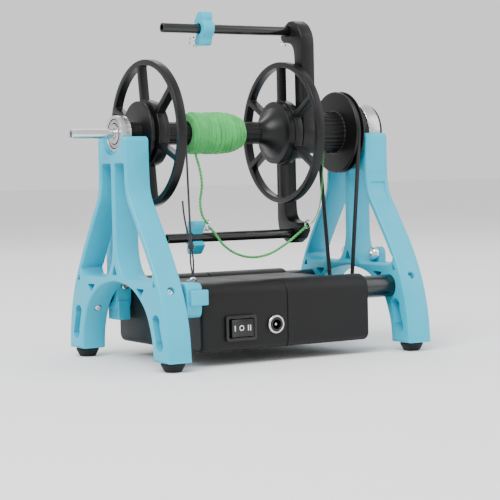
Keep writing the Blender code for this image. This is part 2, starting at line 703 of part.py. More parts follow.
def build_arm_eyes():
    x = (ARM_SPAN[0] + ARM_SPAN[1]) / 2
    for name, sign in (("lower_arm_eye", -1), ("upper_arm_eye", 1)):
        y = sign * 12.0
        z = AXIS_Z + sign * 59.0
        loop = [(x, y + 2.9 * math.cos(a), z + 2.9 * math.sin(a)) for a in [2 * math.pi * i / 16 for i in range(16)]]
        wire(name, loop, 0.45, POLISHED_STEEL, closed=True, resolution=1)


HOOK_OUTLINE = [
    (4.6, -6.5), (5.2, -9.4), (3.4, -10.4), (-3.4, -10.4), (-4.4, -6.4), (-6.4, -3.8), (-8.0, -1.4), (-8.2, 1.6), (-7.0, 3.6),
    (-4.9, 4.6), (-5.6, 7.0), (-4.8, 10.4), (0.6, 10.4), (3.4, 7.2), (5.6, 4.6),
]


def build_hook(name, start, sign):
    """A spring clip that slides on its rod, with two finger tabs. sign is -1 for the lower one, which is turned half round."""
    bore = arc((0, 0), ROD_RADIUS + GAP, 42, 318, 14)
    outline = [*HOOK_OUTLINE, *bore]
    loop = [(sign * y, AXIS_Z + sign * (ROD_OFFSET + z)) for y, z in outline]
    clip = plate(name, [loop], start, start + HOOK_LENGTH, BLUE_PLASTIC)
    set_joint_origin(clip, (start + HOOK_LENGTH / 2, 0, AXIS_Z + sign * ROD_OFFSET))


def build_hooks():
    build_hook("upper_hook", UPPER_HOOK_X, 1)
    build_hook("lower_hook", LOWER_HOOK_X, -1)
    lower_end = LOWER_HOOK_X + HOOK_LENGTH + GAP
    eye_wire("lower_hook_eye", (lower_end + 2.4, -3.4, 82.6), 3.2, (lower_end, -3.4, 79.4))
    upper_end = UPPER_HOOK_X - GAP
    eye_wire("upper_hook_eye", (upper_end - 2.4, 3.4, 2 * AXIS_Z - 82.6), 3.2, (upper_end, 3.4, 2 * AXIS_Z - 85.8))


# ---------------------------------------------------------------- bobbin


def flange_windows(lean):
    """Six rounded windows between the spokes."""
    found = []
    inner = DRUM_RADIUS + 0.8
    outer = FLANGE_RADIUS - RIM_WIDTH
    step = 360 / SPOKES
    for i in range(SPOKES):
        middle = step * i + lean
        half_in = step / 2 - math.degrees(math.asin(SPOKE_WIDTH / 2 / inner))
        half_out = step / 2 - math.degrees(math.asin(SPOKE_WIDTH / 2 / outer))
        low = arc((0, 0), inner, middle - half_in, middle + half_in, 4)
        high = arc((0, 0), outer, middle + half_out - 2.5, middle - half_out + 2.5, 4)
        side = [rotated((outer - 2.2, 0), middle + half_out - 0.6)]
        other = [rotated((outer - 2.2, 0), middle - half_out + 0.6)]
        found.append([(y, z + AXIS_Z) for y, z in [*low, *side, *high, *other]])
    return found


def rotated(point, degrees):
    angle = math.radians(degrees)
    return (
        point[0] * math.cos(angle) - point[1] * math.sin(angle),
        point[0] * math.sin(angle) + point[1] * math.cos(angle),
    )


def spoked_disc(name, span, lean=0):
    rim = arc((0, AXIS_Z), FLANGE_RADIUS, 0, 350, 35)
    bore = arc((0, AXIS_Z), 14.0, 0, 345, 23)
    return plate(name, [rim, bore, *flange_windows(lean)], *span, BLACK_PLASTIC)


def build_bobbin():
    left = spoked_disc("left_flange", LEFT_FLANGE, LEFT_FLANGE_LEAN)
    drum = [
        (-70.6, 6.4), (-70.2, 7.0), (-63.3, 7.0), (-63.3, 19.2), (-62.8, DRUM_RADIUS), (-61.4, DRUM_RADIUS), (-60.6, 16.4),
        (-59.2, 16.4), (-58.6, DRUM_RADIUS), (-50.8, DRUM_RADIUS), (-50.8, BORE_RADIUS), (-70.6, BORE_RADIUS),
    ]
    fuse(left, turned("left_drum", drum, None, is_cutter=True))
    right = spoked_disc("right_flange", RIGHT_FLANGE)
    flare = [(22 + 12.0 * i / 6, CORE_RADIUS + 9.0 * (i / 6) ** 2.0) for i in range(7)]
    trumpet = [*flare, (34.4, DRUM_RADIUS), (44.2, DRUM_RADIUS), (44.2, BORE_RADIUS), (22, BORE_RADIUS)]
    fuse(right, turned("right_drum", trumpet, None, is_cutter=True))
    ring("bobbin_core", -50.5, 21.7, BORE_RADIUS, CORE_RADIUS, BLACK_PLASTIC, 0.2, sides=24)
    package = [
        (-29.3, 11.4), (-28.2, 12.9), (-25.5, 13.5), (-18, 13.2), (-9, 13.5), (-1, 13.0), (4.6, 11.9), (8, 10.3), (9.8, 8.6),
        (9.8, CORE_RADIUS + GAP), (-29.3, CORE_RADIUS + GAP),
    ]
    turned("yarn_package", package, GREEN_YARN, sides=24)


# ---------------------------------------------------------------- brake, belt and thread


def clip_outline(y_sign, foot):
    """The section of a clip round a tube, open at the back: a flat front, a rounded foot and a bore."""
    bore = arc((0, 0), TUBE_RADIUS + GAP, 62, 298, 14)
    body = [(3.6, -9.6), (0, -10.6), (-8.5, -foot), (-10.4, -foot + 2), (-11.4, -3.6), (-11.4, 7.2), (-9.4, 9.4), (0, 9.8), (3.6, 9.4)]
    return [(y_sign * y, z) for y, z in [*body, *bore]]


PEG_SPAN = (-62.6, -52.2)
EYE_TOP = (-53.2, -48.2, 53.2)
POST_TOP = (-57.6, 46.5, 78.5)


def build_tension_peg():
    loop = [(y - TUBE_Y, z + TUBE_Z) for y, z in clip_outline(1, 10.8)]
    peg = plate("tension_peg", [loop], *PEG_SPAN, BLUE_PLASTIC)
    front = -TUBE_Y - 11.4
    fuse(peg, box("peg_tab", (PEG_SPAN[0] + 1.5, front - 3.2, 37.6), (-49.4, front + 0.4, 46.6), None, True))
    set_joint_origin(peg, (-57, -TUBE_Y, TUBE_Z))
    x, y, z = EYE_TOP
    foot = TUBE_Z + 9.8 + GAP + 0.4
    hoop = [
        (x - 2.4, y + 3.0, foot), (x - 2.3, y + 1.3, foot + 0.1), (x - 1.5, y + 0.3, foot + 1.0), (x, y, z),
        (x + 1.5, y + 0.3, foot + 1.0), (x + 2.3, y + 1.3, foot + 0.1), (x + 2.4, y + 3.0, foot),
    ]
    wire("tension_peg_eye", smooth(hoop, 3), 0.5, POLISHED_STEEL, resolution=1)


def build_rear_anchor():
    loop = [(y + TUBE_Y, z + TUBE_Z) for y, z in clip_outline(-1, 10.8)]
    loop = [(-(y - TUBE_Y) + TUBE_Y, z) for y, z in loop]
    anchor = plate("rear_anchor", [loop], *PEG_SPAN, BLUE_PLASTIC)
    foot = box("anchor_foot", (PEG_SPAN[0] + 0.8, TUBE_Y - 11.4, 23.5), (PEG_SPAN[1] - 0.8, TUBE_Y - 8.2, 42.0), None, True)
    post = [(TUBE_Y - 3.4, 50.0), (TUBE_Y + 3.4, 50.0), (TUBE_Y + 3.0, 80), (TUBE_Y - 1.0, 83.5), (TUBE_Y - 3.0, 80)]
    fin = plate("anchor_post", [post], PEG_SPAN[0] + 0.6, PEG_SPAN[0] + 3.8, None, is_cutter=True)
    base = box("anchor_base", (PEG_SPAN[0] + 0.6, TUBE_Y - 3.4, 49.6), (PEG_SPAN[0] + 3.8, TUBE_Y + 3.0, 51.0), None, True)
    fuse(anchor, foot, base, fin)
    cut(anchor, rod("anchor_thread", (-57.4, 30, 45.4), (-57.4, 37.2, 45.4), 1.5, None, True, 16))
    head = [(-3.2, 0), (-3.2, 2.2), (-1.9, 2.8), (-GAP, 2.8), (-GAP, 1.2), (2.6, 1.2), (2.6, 0)]
    turned("anchor_screw", head, POLISHED_STEEL, (-57.4, TUBE_Y - 11.4, 45.4), "Y", 20)


def brake_path():
    """From the knot up to the core, over it, and down behind to the post."""
    reach = CORE_RADIUS + GAP + CORD_RADIUS
    over = [(CORD_X, reach * math.cos(a), AXIS_Z + reach * math.sin(a)) for a in [math.radians(165 - 30 * i) for i in range(6)]]
    return over


def build_brake_cord():
    knot = (-53.0, -46.0, 71.8)
    x, y, z = EYE_TOP
    over = brake_path()
    rear = (PEG_SPAN[0] + 5.6, TUBE_Y - 1.5, 79.5)
    main = [(x, y + 0.2, z + 1.35), (x, y + 0.4, z + 3), knot, *over, rear]
    cord = wire("brake_cord", main, CORD_RADIUS, BRAKE_STRING)
    bead = turned("cord_knot", [(-1.9, 0), (-1.4, 1.5), (0, 2.1), (1.4, 1.5), (1.9, 0)], None, knot, "Z", 12, True)
    tail = wire("cord_tail", smooth([knot, (-55.0, -46.4, 78), (-57.6, -46.8, 90), (-58.4, -46.8, 99)], 3), CORD_RADIUS, None, is_cutter=True)
    fuse(cord, bead, tail)


def build_belt():
    """A round belt, straight between the whorl and the pulley."""
    distance = AXIS_Z - MOTOR_Z
    lean = math.degrees(math.asin((WHORL_BELT_RADIUS - PULLEY_BELT_RADIUS) / distance))
    top = arc((0, AXIS_Z), WHORL_BELT_RADIUS, -lean, 180 + lean, 20)
    bottom = arc((0, MOTOR_Z), PULLEY_BELT_RADIUS, 180 + lean, 360 - lean, 10)
    wire("drive_belt", [(BELT_X, y, z) for y, z in [*top, *bottom]], BELT_RADIUS, BELT_RUBBER, closed=True)


# Routes that hang free, each through its own points.
PACKAGE_STRAND = [(-24.5, -4.0, 125.0), (-22.6, -5.2, 116), (-21.8, -5.6, 107), (-23.2, -5.4, 97), (-21.6, -4.8, 88.5), (-17.6, -4.2, 83.2)]
LOOP_STRAND = [
    (-16.9, -4.0, 82.0), (-13.0, -5.0, 77), (-7.5, -6.4, 69.5), (1.0, -7.4, 63.8), (12, -8.2, 61.2), (24, -9.0, 62.8), (35, -10.2, 68.2),
    (45, -11.4, 75.2), (50.9, -12.0, 79.8),
]
ORIFICE_STRAND = [(52.0, -12.0, 80.6), (57, -11.2, 83.0), (63, -8.8, 92), (67.5, -5.4, 106), (70.5, -2.6, 119), (73.0, -0.8, 127.5), (76.5, 0, 134.5)]


def build_thread():
    wire("package_strand", smooth(PACKAGE_STRAND, 3), THICK_YARN, GREEN_YARN)
    wire("loop_strand", smooth(LOOP_STRAND, 3), THICK_YARN, GREEN_YARN)
    wire("orifice_strand", smooth(ORIFICE_STRAND, 3), THIN_YARN, GREEN_YARN)


def main():
    build_legs()
    build_fasteners()
    build_tubes()
    build_feet()
    build_housing()
    build_seam_strip()
    build_motor()
    build_electronics()
    build_switch()
    build_sockets()
    build_bearing("left", *LEFT_BEARING, 2.8)
    build_bearing("right", *RIGHT_BEARING, 2.2)
    build_shaft()
    build_arm()
    build_arm_eyes()
    build_whorl()
    build_hooks()
    build_bobbin()
    build_tension_peg()
    build_rear_anchor()
    build_brake_cord()
    build_belt()
    build_thread()


main()
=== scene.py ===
"""The finished look of an electric table-top spinning wheel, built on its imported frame.

It is laid out as an add-on and run as a script. Sizes are in millimetres unless a name or a property says otherwise.
"""

import math

import bmesh
import bpy
from mathutils import Matrix, Vector, noise


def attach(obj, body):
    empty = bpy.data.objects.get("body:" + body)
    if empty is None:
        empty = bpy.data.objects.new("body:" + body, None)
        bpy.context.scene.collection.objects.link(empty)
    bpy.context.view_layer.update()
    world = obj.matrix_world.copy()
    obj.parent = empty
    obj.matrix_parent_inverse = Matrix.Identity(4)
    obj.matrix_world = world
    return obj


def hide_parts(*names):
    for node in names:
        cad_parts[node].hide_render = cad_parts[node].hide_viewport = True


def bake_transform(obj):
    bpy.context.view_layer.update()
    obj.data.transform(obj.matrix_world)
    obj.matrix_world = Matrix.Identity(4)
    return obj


bl_info = {
    "name": "Spinning Wheel",
    "version": (1, 0, 0),
    "blender": (4, 5, 0),
    "location": "3D View > Sidebar > Spinning Wheel",
    "description": "Builds the legs, motor box, flyer, bobbin and yarn of a table-top spinning wheel",
    "category": "Add Mesh",
}

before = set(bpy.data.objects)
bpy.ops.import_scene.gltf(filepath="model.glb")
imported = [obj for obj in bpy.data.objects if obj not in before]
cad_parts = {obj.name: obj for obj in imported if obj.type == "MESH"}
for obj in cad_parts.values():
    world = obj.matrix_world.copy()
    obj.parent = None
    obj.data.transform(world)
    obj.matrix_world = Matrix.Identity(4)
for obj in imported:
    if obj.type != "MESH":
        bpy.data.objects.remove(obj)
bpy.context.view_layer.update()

MM = 0.001
AXIS_Z = 139.5
LEFT_LEG = (-80.8, -64.8)
RIGHT_LEG = (90.2, 107.4)
FOOT_HEIGHT = 5.6
FOOT_Y = 57.0
TUBE_Y = 45.5
TUBE_Z = 41.0
TUBE_RADIUS = 7.0
TUBE_SPAN = (-77.2, 102.6)
LEFT_BEARING = (-79.1, -72.1)
RIGHT_BEARING = (96.2, 105.2)
BOX_SPAN = (-51.5, 68.8)
BOX_SEAM = 8.3
BOX_BOTTOM = 8.6
BOX_TOP = 47.2
BULGE_RADIUS = 8.9
BOX_SIDE_Y = TUBE_Y + BULGE_RADIUS
SWITCH = (-25.4, 22.3)
SOCKET_X = -0.9
SOCKET_Z = 23.0
PEDAL_X = -30.0
MOTOR_Z = 30.0
BELT_X = 84.5
BELT_RADIUS = 1.3
WHORL_BELT_RADIUS = 24.1
PULLEY_BELT_RADIUS = 11.0
SHAFT_RADIUS = 2.95
ARM_SPAN = (46.7, 56.2)
ROD_OFFSET = 64.7
ROD_RADIUS = 3.0
ROD_SPAN = (-44.3, 55.8)
ORIFICE_RADIUS = 8.0
FLANGE_RADIUS = 45.0
DRUM_RADIUS = 19.75
LEFT_FLANGE_LEAN = -8.0
LEFT_FLANGE = (-58.6, -53.1)
RIGHT_FLANGE = (38.7, 44.2)
CORE_RADIUS = 7.0
LUGS = {"front": -15.5, "rear": 15.5}
LUG_Z = 60.0
SCREW_LINES = {"front": ((-57.6, 47.6), (0.88, -0.475), 2.4), "rear": ((38.6, 30.4), (0.83, 0.558), 1.7)}
PEG_SPAN = (-62.6, -52.2)
CORD_X = -33.8
SHAFT_SPAN = (-107.4, 60.0)
SHAFT_BORE = 1.9
BOBBIN_BORE = 3.2
LEFT_BEARING_RADIUS = 11.0
RIGHT_BEARING_RADIUS = 18.5
SPOKES = 6
SPOKE_HALF = 1.8
BASE_SCREWS = {"left": -1.7, "right": 18.3}
MOTOR_SCREWS = {"front": -12.5, "rear": 12.5}
ANCHOR_SCREW = (-57.4, 45.4)
HOOK_STARTS = {"upper": -18.8, "lower": -27.5}
HOOK_WIDTH = 7.5


# ---------------------------------------------------------------- settings


class WheelFinish(bpy.types.PropertyGroup):
    """Colours and surface finish."""

    leg_colour: bpy.props.FloatVectorProperty(
        name="Legs", description="Colour of the moulded legs and clips", subtype="COLOR", size=4, min=0, max=1,
        default=(0.008, 0.44, 0.62, 1),
    )
    body_colour: bpy.props.FloatVectorProperty(
        name="Body", description="Colour of the black mouldings", subtype="COLOR", size=4, min=0, max=1,
        default=(0.0042, 0.0042, 0.0046, 1),
    )
    yarn_colour: bpy.props.FloatVectorProperty(
        name="Yarn", description="Colour of the spun yarn", subtype="COLOR", size=4, min=0, max=1,
        default=(0.055, 0.43, 0.1, 1),
    )
    cord_colour: bpy.props.FloatVectorProperty(
        name="Cord", description="Colour of the brake cord", subtype="COLOR", size=4, min=0, max=1,
        default=(0.009, 0.009, 0.011, 1),
    )


class WheelDetail(bpy.types.PropertyGroup):
    """Sizes of the small details."""

    edge: bpy.props.FloatProperty(
        name="Edge Radius", description="Rounding of the moulded edges", default=0.0012, min=0.0002, max=0.002,
        unit="LENGTH",
    )
    flutes: bpy.props.IntProperty(
        name="Flutes", description="Flutes round the flyer's barrel", default=28, min=8, max=60
    )
    yarn: bpy.props.FloatProperty(
        name="Yarn Diameter", description="Thickness of the yarn on the bobbin", default=0.0021, min=0.0008, max=0.003,
        unit="LENGTH",
    )


class WheelStage(bpy.types.PropertyGroup):
    """Camera, floor and light."""

    lens: bpy.props.FloatProperty(
        name="Lens", description="Focal length of the camera", default=118.65, min=20, max=400, unit="CAMERA"
    )
    key: bpy.props.FloatProperty(
        name="Key Light", description="Power of the large soft light", default=40.0, min=0, unit="POWER"
    )
    fill: bpy.props.FloatProperty(
        name="Fill Light", description="Power of the second soft light", default=8.0, min=0, unit="POWER"
    )
    floor_colour: bpy.props.FloatVectorProperty(
        name="Floor", description="Colour of the floor", subtype="COLOR", size=4, min=0, max=1, default=(
            0.9, 0.9, 0.9, 1
        )
    )


def finish():
    return bpy.context.scene.wheel_finish


def detail():
    return bpy.context.scene.wheel_detail


def stage_settings():
    return bpy.context.scene.wheel_stage


# ---------------------------------------------------------------- outlines


def arc(centre, radius, start, end, steps):
    """Points on an arc, angles in degrees."""
    found = []
    for i in range(steps + 1):
        angle = math.radians(start + (end - start) * i / steps)
        found.append((centre[0] + radius * math.cos(angle), centre[1] + radius * math.sin(angle)))
    return found


def smooth(points, per_span=8):
    """A Catmull-Rom curve through points of two or three coordinates."""
    padded = [points[0], *points, points[-1]]
    found = []
    for a, b, c, d in zip(padded, padded[1:], padded[2:], padded[3:]):
        for i in range(per_span):
            t = i / per_span
            found.append(
                tuple(
                    0.5 * (2 * q + (r - p) * t + (2 * p - 5 * q + 4 * r - s) * t**2 + (3 * q - p - 3 * r + s) * t**3)
                    for p, q, r, s in zip(a, b, c, d)
                )
            )
    return [*found, tuple(points[-1])]


def round_angles(steps, first=0.0, step=None):
    """Angles in radians that go once round, or on from a first one in steps of so many degrees."""
    step = 360 / steps if step is None else step
    return [math.radians(first + step * i) for i in range(steps)]


def inset(points, distance):
    """The line moved sideways by a distance."""
    found = []
    for i, point in enumerate(points):
        along = (Vector(points[min(i + 1, len(points) - 1)]) - Vector(points[max(i - 1, 0)])).normalized()
        found.append((point[0] + along.y * distance, point[1] - along.x * distance))
    return found


def mirrored(points):
    """The line reflected in the middle plane and reversed, so that it joins on to the first."""
    return [(-across, up) for across, up in reversed(points)]


def fillet(points, radius, closed=True, steps=4):
    """Rounds the corners of a line of 2-D points."""
    count = len(points)
    found = []
    for i, point in enumerate(points):
        if not closed and i in (0, count - 1):
            found.append(point)
            continue
        here = Vector(point)
        before = Vector(points[i - 1]) - here
        after = Vector(points[(i + 1) % count]) - here
        cut = min(radius, 0.45 * before.length, 0.45 * after.length)
        if cut < 1e-6 or before.normalized().dot(after.normalized()) < -0.985:
            found.append(point)
            continue
        a = here + before.normalized() * cut
        b = here + after.normalized() * cut
        for j in range(steps + 1):
            t = j / steps
            found.append(tuple(a * (1 - t) ** 2 + here * 2 * t * (1 - t) + b * t**2))
    return found


# ---------------------------------------------------------------- shapes, as (points in millimetres, faces)


def joined(*shapes):
    points = []
    faces = []
    for more, sides in shapes:
        faces += [tuple(i + len(points) for i in face) for face in sides]
        points += more
    return points, faces


FRAMES = {
    "X": lambda across, up, along: (along, across, up),
    "Y": lambda across, up, along: (across, along, up),
    "Z": lambda across, up, along: (across, up, along),
}


def turned(profile, centre=(0, 0, AXIS_Z), axis="X", sides=96, soften=0.25, wave=None):
    """Turns (station, radius) points about an axis. wave(angle, station, radius) may change a radius."""
    ringed = profile[0][1] > 0
    profile = fillet(profile, soften, closed=ringed, steps=3)
    points = []
    rings = []
    place = FRAMES[axis]
    for station, radius in profile:
        if radius < 1e-6:
            rings.append([len(points)])
            points.append(place(0, 0, station))
            continue
        rings.append(range(len(points), len(points) + sides))
        for i in range(sides):
            angle = 2 * math.pi * i / sides
            size = wave(angle, station, radius) if wave else radius
            points.append(place(size * math.cos(angle), size * math.sin(angle), station))
    points = [tuple(a + b for a, b in zip(point, centre)) for point in points]
    faces = []
    for a, b in zip(rings, [*rings[1:], rings[0]] if ringed else rings[1:]):
        for i in range(sides):
            j = (i + 1) % sides
            corners = [a[i % len(a)], a[j % len(a)], b[j % len(b)], b[i % len(b)]]
            faces.append(tuple(dict.fromkeys(corners)))
    return points, faces


def plate(loops, start, end, edge=None, axis="X"):
    """A flat piece with rounded edges, from an outline and its holes."""
    edge = detail().edge / MM if edge is None else edge
    curve = bpy.data.curves.new("outline", "CURVE")
    curve.dimensions = "2D"
    curve.fill_mode = "BOTH"
    curve.bevel_depth = edge * MM
    curve.bevel_resolution = 2
    curve.offset = -edge * MM
    curve.extrude = ((end - start) / 2 - edge) * MM
    for loop in loops:
        spline = curve.splines.new("POLY")
        spline.points.add(len(loop) - 1)
        for point, (across, up) in zip(spline.points, loop):
            point.co = (across * MM, up * MM, 0, 1)
        spline.use_cyclic_u = True
    drawn = bpy.data.objects.new("outline", curve)
    bpy.context.scene.collection.objects.link(drawn)
    bpy.context.view_layer.update()
    mesh = bpy.data.meshes.new_from_object(drawn.evaluated_get(bpy.context.evaluated_depsgraph_get()))
    bpy.data.objects.remove(drawn, do_unlink=True)
    place = FRAMES[axis]
    middle = (start + end) / 2
    points = [place(v.co.x / MM, v.co.y / MM, middle + v.co.z / MM) for v in mesh.vertices]
    faces = [tuple(face.vertices) for face in mesh.polygons]
    bpy.data.meshes.remove(mesh)
    return points, faces


def block(low, high, edge=0.4):
    """A box with rounded upright edges."""
    corners = [(low[0], low[1]), (high[0], low[1]), (high[0], high[1]), (low[0], high[1])]
    return plate([fillet(corners, 2 * edge)], low[2], high[2], edge, "Z")


def rod(start, end, radius, sides=32):
    a = Vector(start)
    b = Vector(end)
    turn = (b - a).to_track_quat("Z", "Y").to_matrix()
    points = []
    for base in (a, b):
        for i in range(sides):
            angle = 2 * math.pi * i / sides
            points.append(tuple(base + turn @ Vector((radius * math.cos(angle), radius * math.sin(angle), 0))))
    faces = [(i, (i + 1) % sides, sides + (i + 1) % sides, sides + i) for i in range(sides)]
    faces += [tuple(range(sides)), tuple(range(sides, 2 * sides))]
    return points, faces


def frames_along(points, closed=False):
    """Each point of a path with two directions across it that don't twist."""
    path = [Vector(p) for p in points]
    count = len(path)
    normal = None
    found = []
    for i, point in enumerate(path):
        before = path[i - 1] if closed or i else path[0]
        after = path[(i + 1) % count] if closed or i + 1 < count else path[-1]
        along = (after - before).normalized()
        if normal is None:
            normal = along.orthogonal().normalized()
        normal = (normal - along * normal.dot(along)).normalized()
        found.append((point, normal.copy(), along.cross(normal)))
    return found


def sweep(points, radius, sides=12, closed=False):
    """A round strand along a path. radius is a number or one for each point."""
    found = frames_along(points, closed)
    rings = []
    verts = []
    for i, (point, a, b) in enumerate(found):
        size = radius[i] if isinstance(radius, list) else radius
        rings.append(range(len(verts), len(verts) + sides))
        for j in range(sides):
            angle = 2 * math.pi * j / sides
            verts.append(tuple(point + (a * math.cos(angle) + b * math.sin(angle)) * size))
    faces = []
    for a, b in zip(rings, [*rings[1:], rings[0]] if closed else rings[1:]):
        faces += [(a[j], a[(j + 1) % sides], b[(j + 1) % sides], b[j]) for j in range(sides)]
    if not closed:
        faces += [tuple(rings[0]), tuple(rings[-1])]
    return verts, faces


def evenly(points, step):
    """The same path with points a step apart."""
    path = [Vector(p) for p in points]
    lengths = [0.0]
    for a, b in zip(path, path[1:]):
        lengths.append(lengths[-1] + (b - a).length)
    count = max(2, round(lengths[-1] / step))
    found = []
    at = 0
    for i in range(count + 1):
        want = lengths[-1] * i / count
        while at < len(path) - 2 and lengths[at + 1] < want:
            at += 1
        span = lengths[at + 1] - lengths[at]
        found.append(path[at].lerp(path[at + 1], (want - lengths[at]) / span if span else 0))
    return found


def plied(points, radius, plies=3, pitch=4.0):
    """A strand of twisted plies along a path."""
    path = evenly(points, pitch / 9)
    ply_radius = radius * (0.52 if plies > 2 else 0.56)
    offset = radius - ply_radius
    step = sum((b - a).length for a, b in zip(path, path[1:])) / (len(path) - 1)
    shapes = []
    for ply in range(plies):
        route = []
        for i, (point, a, b) in enumerate(frames_along(path)):
            angle = 2 * math.pi * (i * step / pitch + ply / plies)
            route.append(point + (a * math.cos(angle) + b * math.sin(angle)) * offset)
        shapes.append(sweep(route, ply_radius, 8))
    return joined(*shapes)


# ---------------------------------------------------------------- pieces


def mesh_of(name, shape):
    points, faces = shape
    mesh = bpy.data.meshes.new(name)
    mesh.from_pydata([tuple(c * MM for c in p) for p in points], [], faces)
    work = bmesh.new()
    work.from_mesh(mesh)
    bmesh.ops.remove_doubles(work, verts=work.verts, dist=1e-6)
    bmesh.ops.recalc_face_normals(work, faces=work.faces)
    work.to_mesh(mesh)
    work.free()
    return mesh


def carve(obj, cuts=(), unions=()):
    """Cuts shapes from a piece, or adds them, and keeps the plain result."""
    helpers = []
    for operation, shapes in (("UNION", unions), ("DIFFERENCE", cuts)):
        for shape in shapes:
            helper = bpy.data.objects.new("helper", mesh_of("helper", shape))
            bpy.context.scene.collection.objects.link(helper)
            helpers.append(helper)
            modifier = obj.modifiers.new("carve", "BOOLEAN")
            modifier.operation = operation
            modifier.solver = "EXACT"
            modifier.object = helper
    bpy.context.view_layer.update()
    result = bpy.data.meshes.new_from_object(obj.evaluated_get(bpy.context.evaluated_depsgraph_get()))
    obj.modifiers.clear()
    spare = obj.data
    obj.data = result
    bpy.data.meshes.remove(spare)
    for helper in helpers:
        bpy.data.objects.remove(helper, do_unlink=True)
    return obj


def piece(name, shape, material, body, nodes=(), cuts=(), unions=(), sharp=32):
    """A finished piece that moves with a body and stands for its nodes."""
    obj = bpy.data.objects.new(name, mesh_of(name, shape))
    bpy.context.scene.collection.objects.link(obj)
    if cuts or unions:
        carve(obj, cuts, unions)
    obj.data.name = name
    obj.data.materials.clear()
    obj.data.materials.append(material)
    obj.data.shade_smooth()
    obj.data.set_sharp_from_angle(angle=math.radians(sharp))
    if isinstance(body, str):
        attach(obj, body)
    else:
        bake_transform(obj)
    if nodes:
        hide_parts(*([nodes] if isinstance(nodes, str) else nodes))
    return obj


# ---------------------------------------------------------------- materials


def node(tree, kind, **values):
    """A node with its inputs set by name, or linked where the value is a socket."""
    made = tree.nodes.new(kind)
    for name, value in values.items():
        key = name.replace("_", " ")
        if key in made.inputs:
            socket = made.inputs[key]
            if isinstance(value, bpy.types.NodeSocket):
                tree.links.new(value, socket)
            else:
                socket.default_value = value
        else:
            setattr(made, name, value)
    return made


def new_group(name, inputs, outputs):
    tree = bpy.data.node_groups.new(name, "ShaderNodeTree")
    for label, default in inputs.items():
        socket = tree.interface.new_socket(label, in_out="INPUT", socket_type="NodeSocketFloat")
        socket.default_value = default
    for label, kind in outputs.items():
        tree.interface.new_socket(label, in_out="OUTPUT", socket_type=kind)
    return tree, tree.nodes.new("NodeGroupInput"), tree.nodes.new("NodeGroupOutput")


def scaled(tree, vector, scale):
    made = node(tree, "ShaderNodeVectorMath", operation="SCALE")
    tree.links.new(vector, made.inputs[0])
    tree.links.new(scale, made.inputs["Scale"])
    return made.outputs[0]


def grain_group():
    """Fine moulded texture and slow uneven shading."""
    tree, given, out = new_group(
        "Moulded Grain", {"Grain Size": 900.0, "Patch Size": 45.0}, {
            "Height": "NodeSocketFloat", "Patches": "NodeSocketFloat"
        }
    )
    place = node(tree, "ShaderNodeTexCoord").outputs["Object"]
    fine = node(
        tree, "ShaderNodeTexNoise", Vector=scaled(tree, place, given.outputs["Grain Size"]), Scale=1.0, Detail=2.0
    )
    slow = node(
        tree, "ShaderNodeTexNoise", Vector=scaled(tree, place, given.outputs["Patch Size"]), Scale=1.0, Detail=3.0
    )
    tree.links.new(fine.outputs["Fac"], out.inputs["Height"])
    tree.links.new(slow.outputs["Fac"], out.inputs["Patches"])
    return tree


def wear_group():
    """Where edges are rubbed."""
    tree, given, out = new_group("Edge Wear", {"Start": 0.53, "End": 0.62}, {"Mask": "NodeSocketFloat"})
    point = node(tree, "ShaderNodeNewGeometry").outputs["Pointiness"]
    place = node(tree, "ShaderNodeTexCoord").outputs["Object"]
    rough = node(tree, "ShaderNodeTexNoise", Vector=place, Scale=380.0, Detail=3.0)
    edge = node(tree, "ShaderNodeMapRange", clamp=True)
    tree.links.new(point, edge.inputs["Value"])
    tree.links.new(given.outputs["Start"], edge.inputs["From Min"])
    tree.links.new(given.outputs["End"], edge.inputs["From Max"])
    mixed = node(tree, "ShaderNodeMath", operation="MULTIPLY")
    tree.links.new(edge.outputs[0], mixed.inputs[0])
    tree.links.new(rough.outputs["Fac"], mixed.inputs[1])
    tree.links.new(mixed.outputs[0], out.inputs["Mask"])
    return tree


def dust_group():
    """Light dust on faces that look up."""
    tree, given, out = new_group("Settled Dust", {"Amount": 0.2}, {"Mask": "NodeSocketFloat"})
    facing = node(tree, "ShaderNodeSeparateXYZ", Vector=node(tree, "ShaderNodeNewGeometry").outputs["Normal"]).outputs[
        "Z"
    ]
    place = node(tree, "ShaderNodeTexCoord").outputs["Object"]
    spots = node(tree, "ShaderNodeTexNoise", Vector=place, Scale=160.0, Detail=6.0, Roughness=0.7)
    up = node(tree, "ShaderNodeMapRange", clamp=True, From_Min=0.6, From_Max=1.0)
    tree.links.new(facing, up.inputs["Value"])
    speck = node(tree, "ShaderNodeMapRange", clamp=True, From_Min=0.5, From_Max=0.75)
    tree.links.new(spots.outputs["Fac"], speck.inputs["Value"])
    both = node(tree, "ShaderNodeMath", operation="MULTIPLY")
    tree.links.new(up.outputs[0], both.inputs[0])
    tree.links.new(speck.outputs[0], both.inputs[1])
    amount = node(tree, "ShaderNodeMath", operation="MULTIPLY")
    tree.links.new(both.outputs[0], amount.inputs[0])
    tree.links.new(given.outputs["Amount"], amount.inputs[1])
    tree.links.new(amount.outputs[0], out.inputs["Mask"])
    return tree


def lathe_group():
    """Fine lines left by turning, running round the flyer's axis."""
    tree, given, out = new_group("Turning Lines", {"Lines": 2600.0, "Around": 30.0}, {"Height": "NodeSocketFloat"})
    parts = node(tree, "ShaderNodeSeparateXYZ", Vector=node(tree, "ShaderNodeTexCoord").outputs["Object"])
    stretched = node(tree, "ShaderNodeCombineXYZ")
    for axis, factor in (("X", "Lines"), ("Y", "Around"), ("Z", "Around")):
        times = node(tree, "ShaderNodeMath", operation="MULTIPLY")
        tree.links.new(parts.outputs[axis], times.inputs[0])
        tree.links.new(given.outputs[factor], times.inputs[1])
        tree.links.new(times.outputs[0], stretched.inputs[axis])
    lines = node(tree, "ShaderNodeTexNoise", Vector=stretched.outputs[0], Scale=1.0, Detail=4.0)
    tree.links.new(lines.outputs["Fac"], out.inputs["Height"])
    return tree


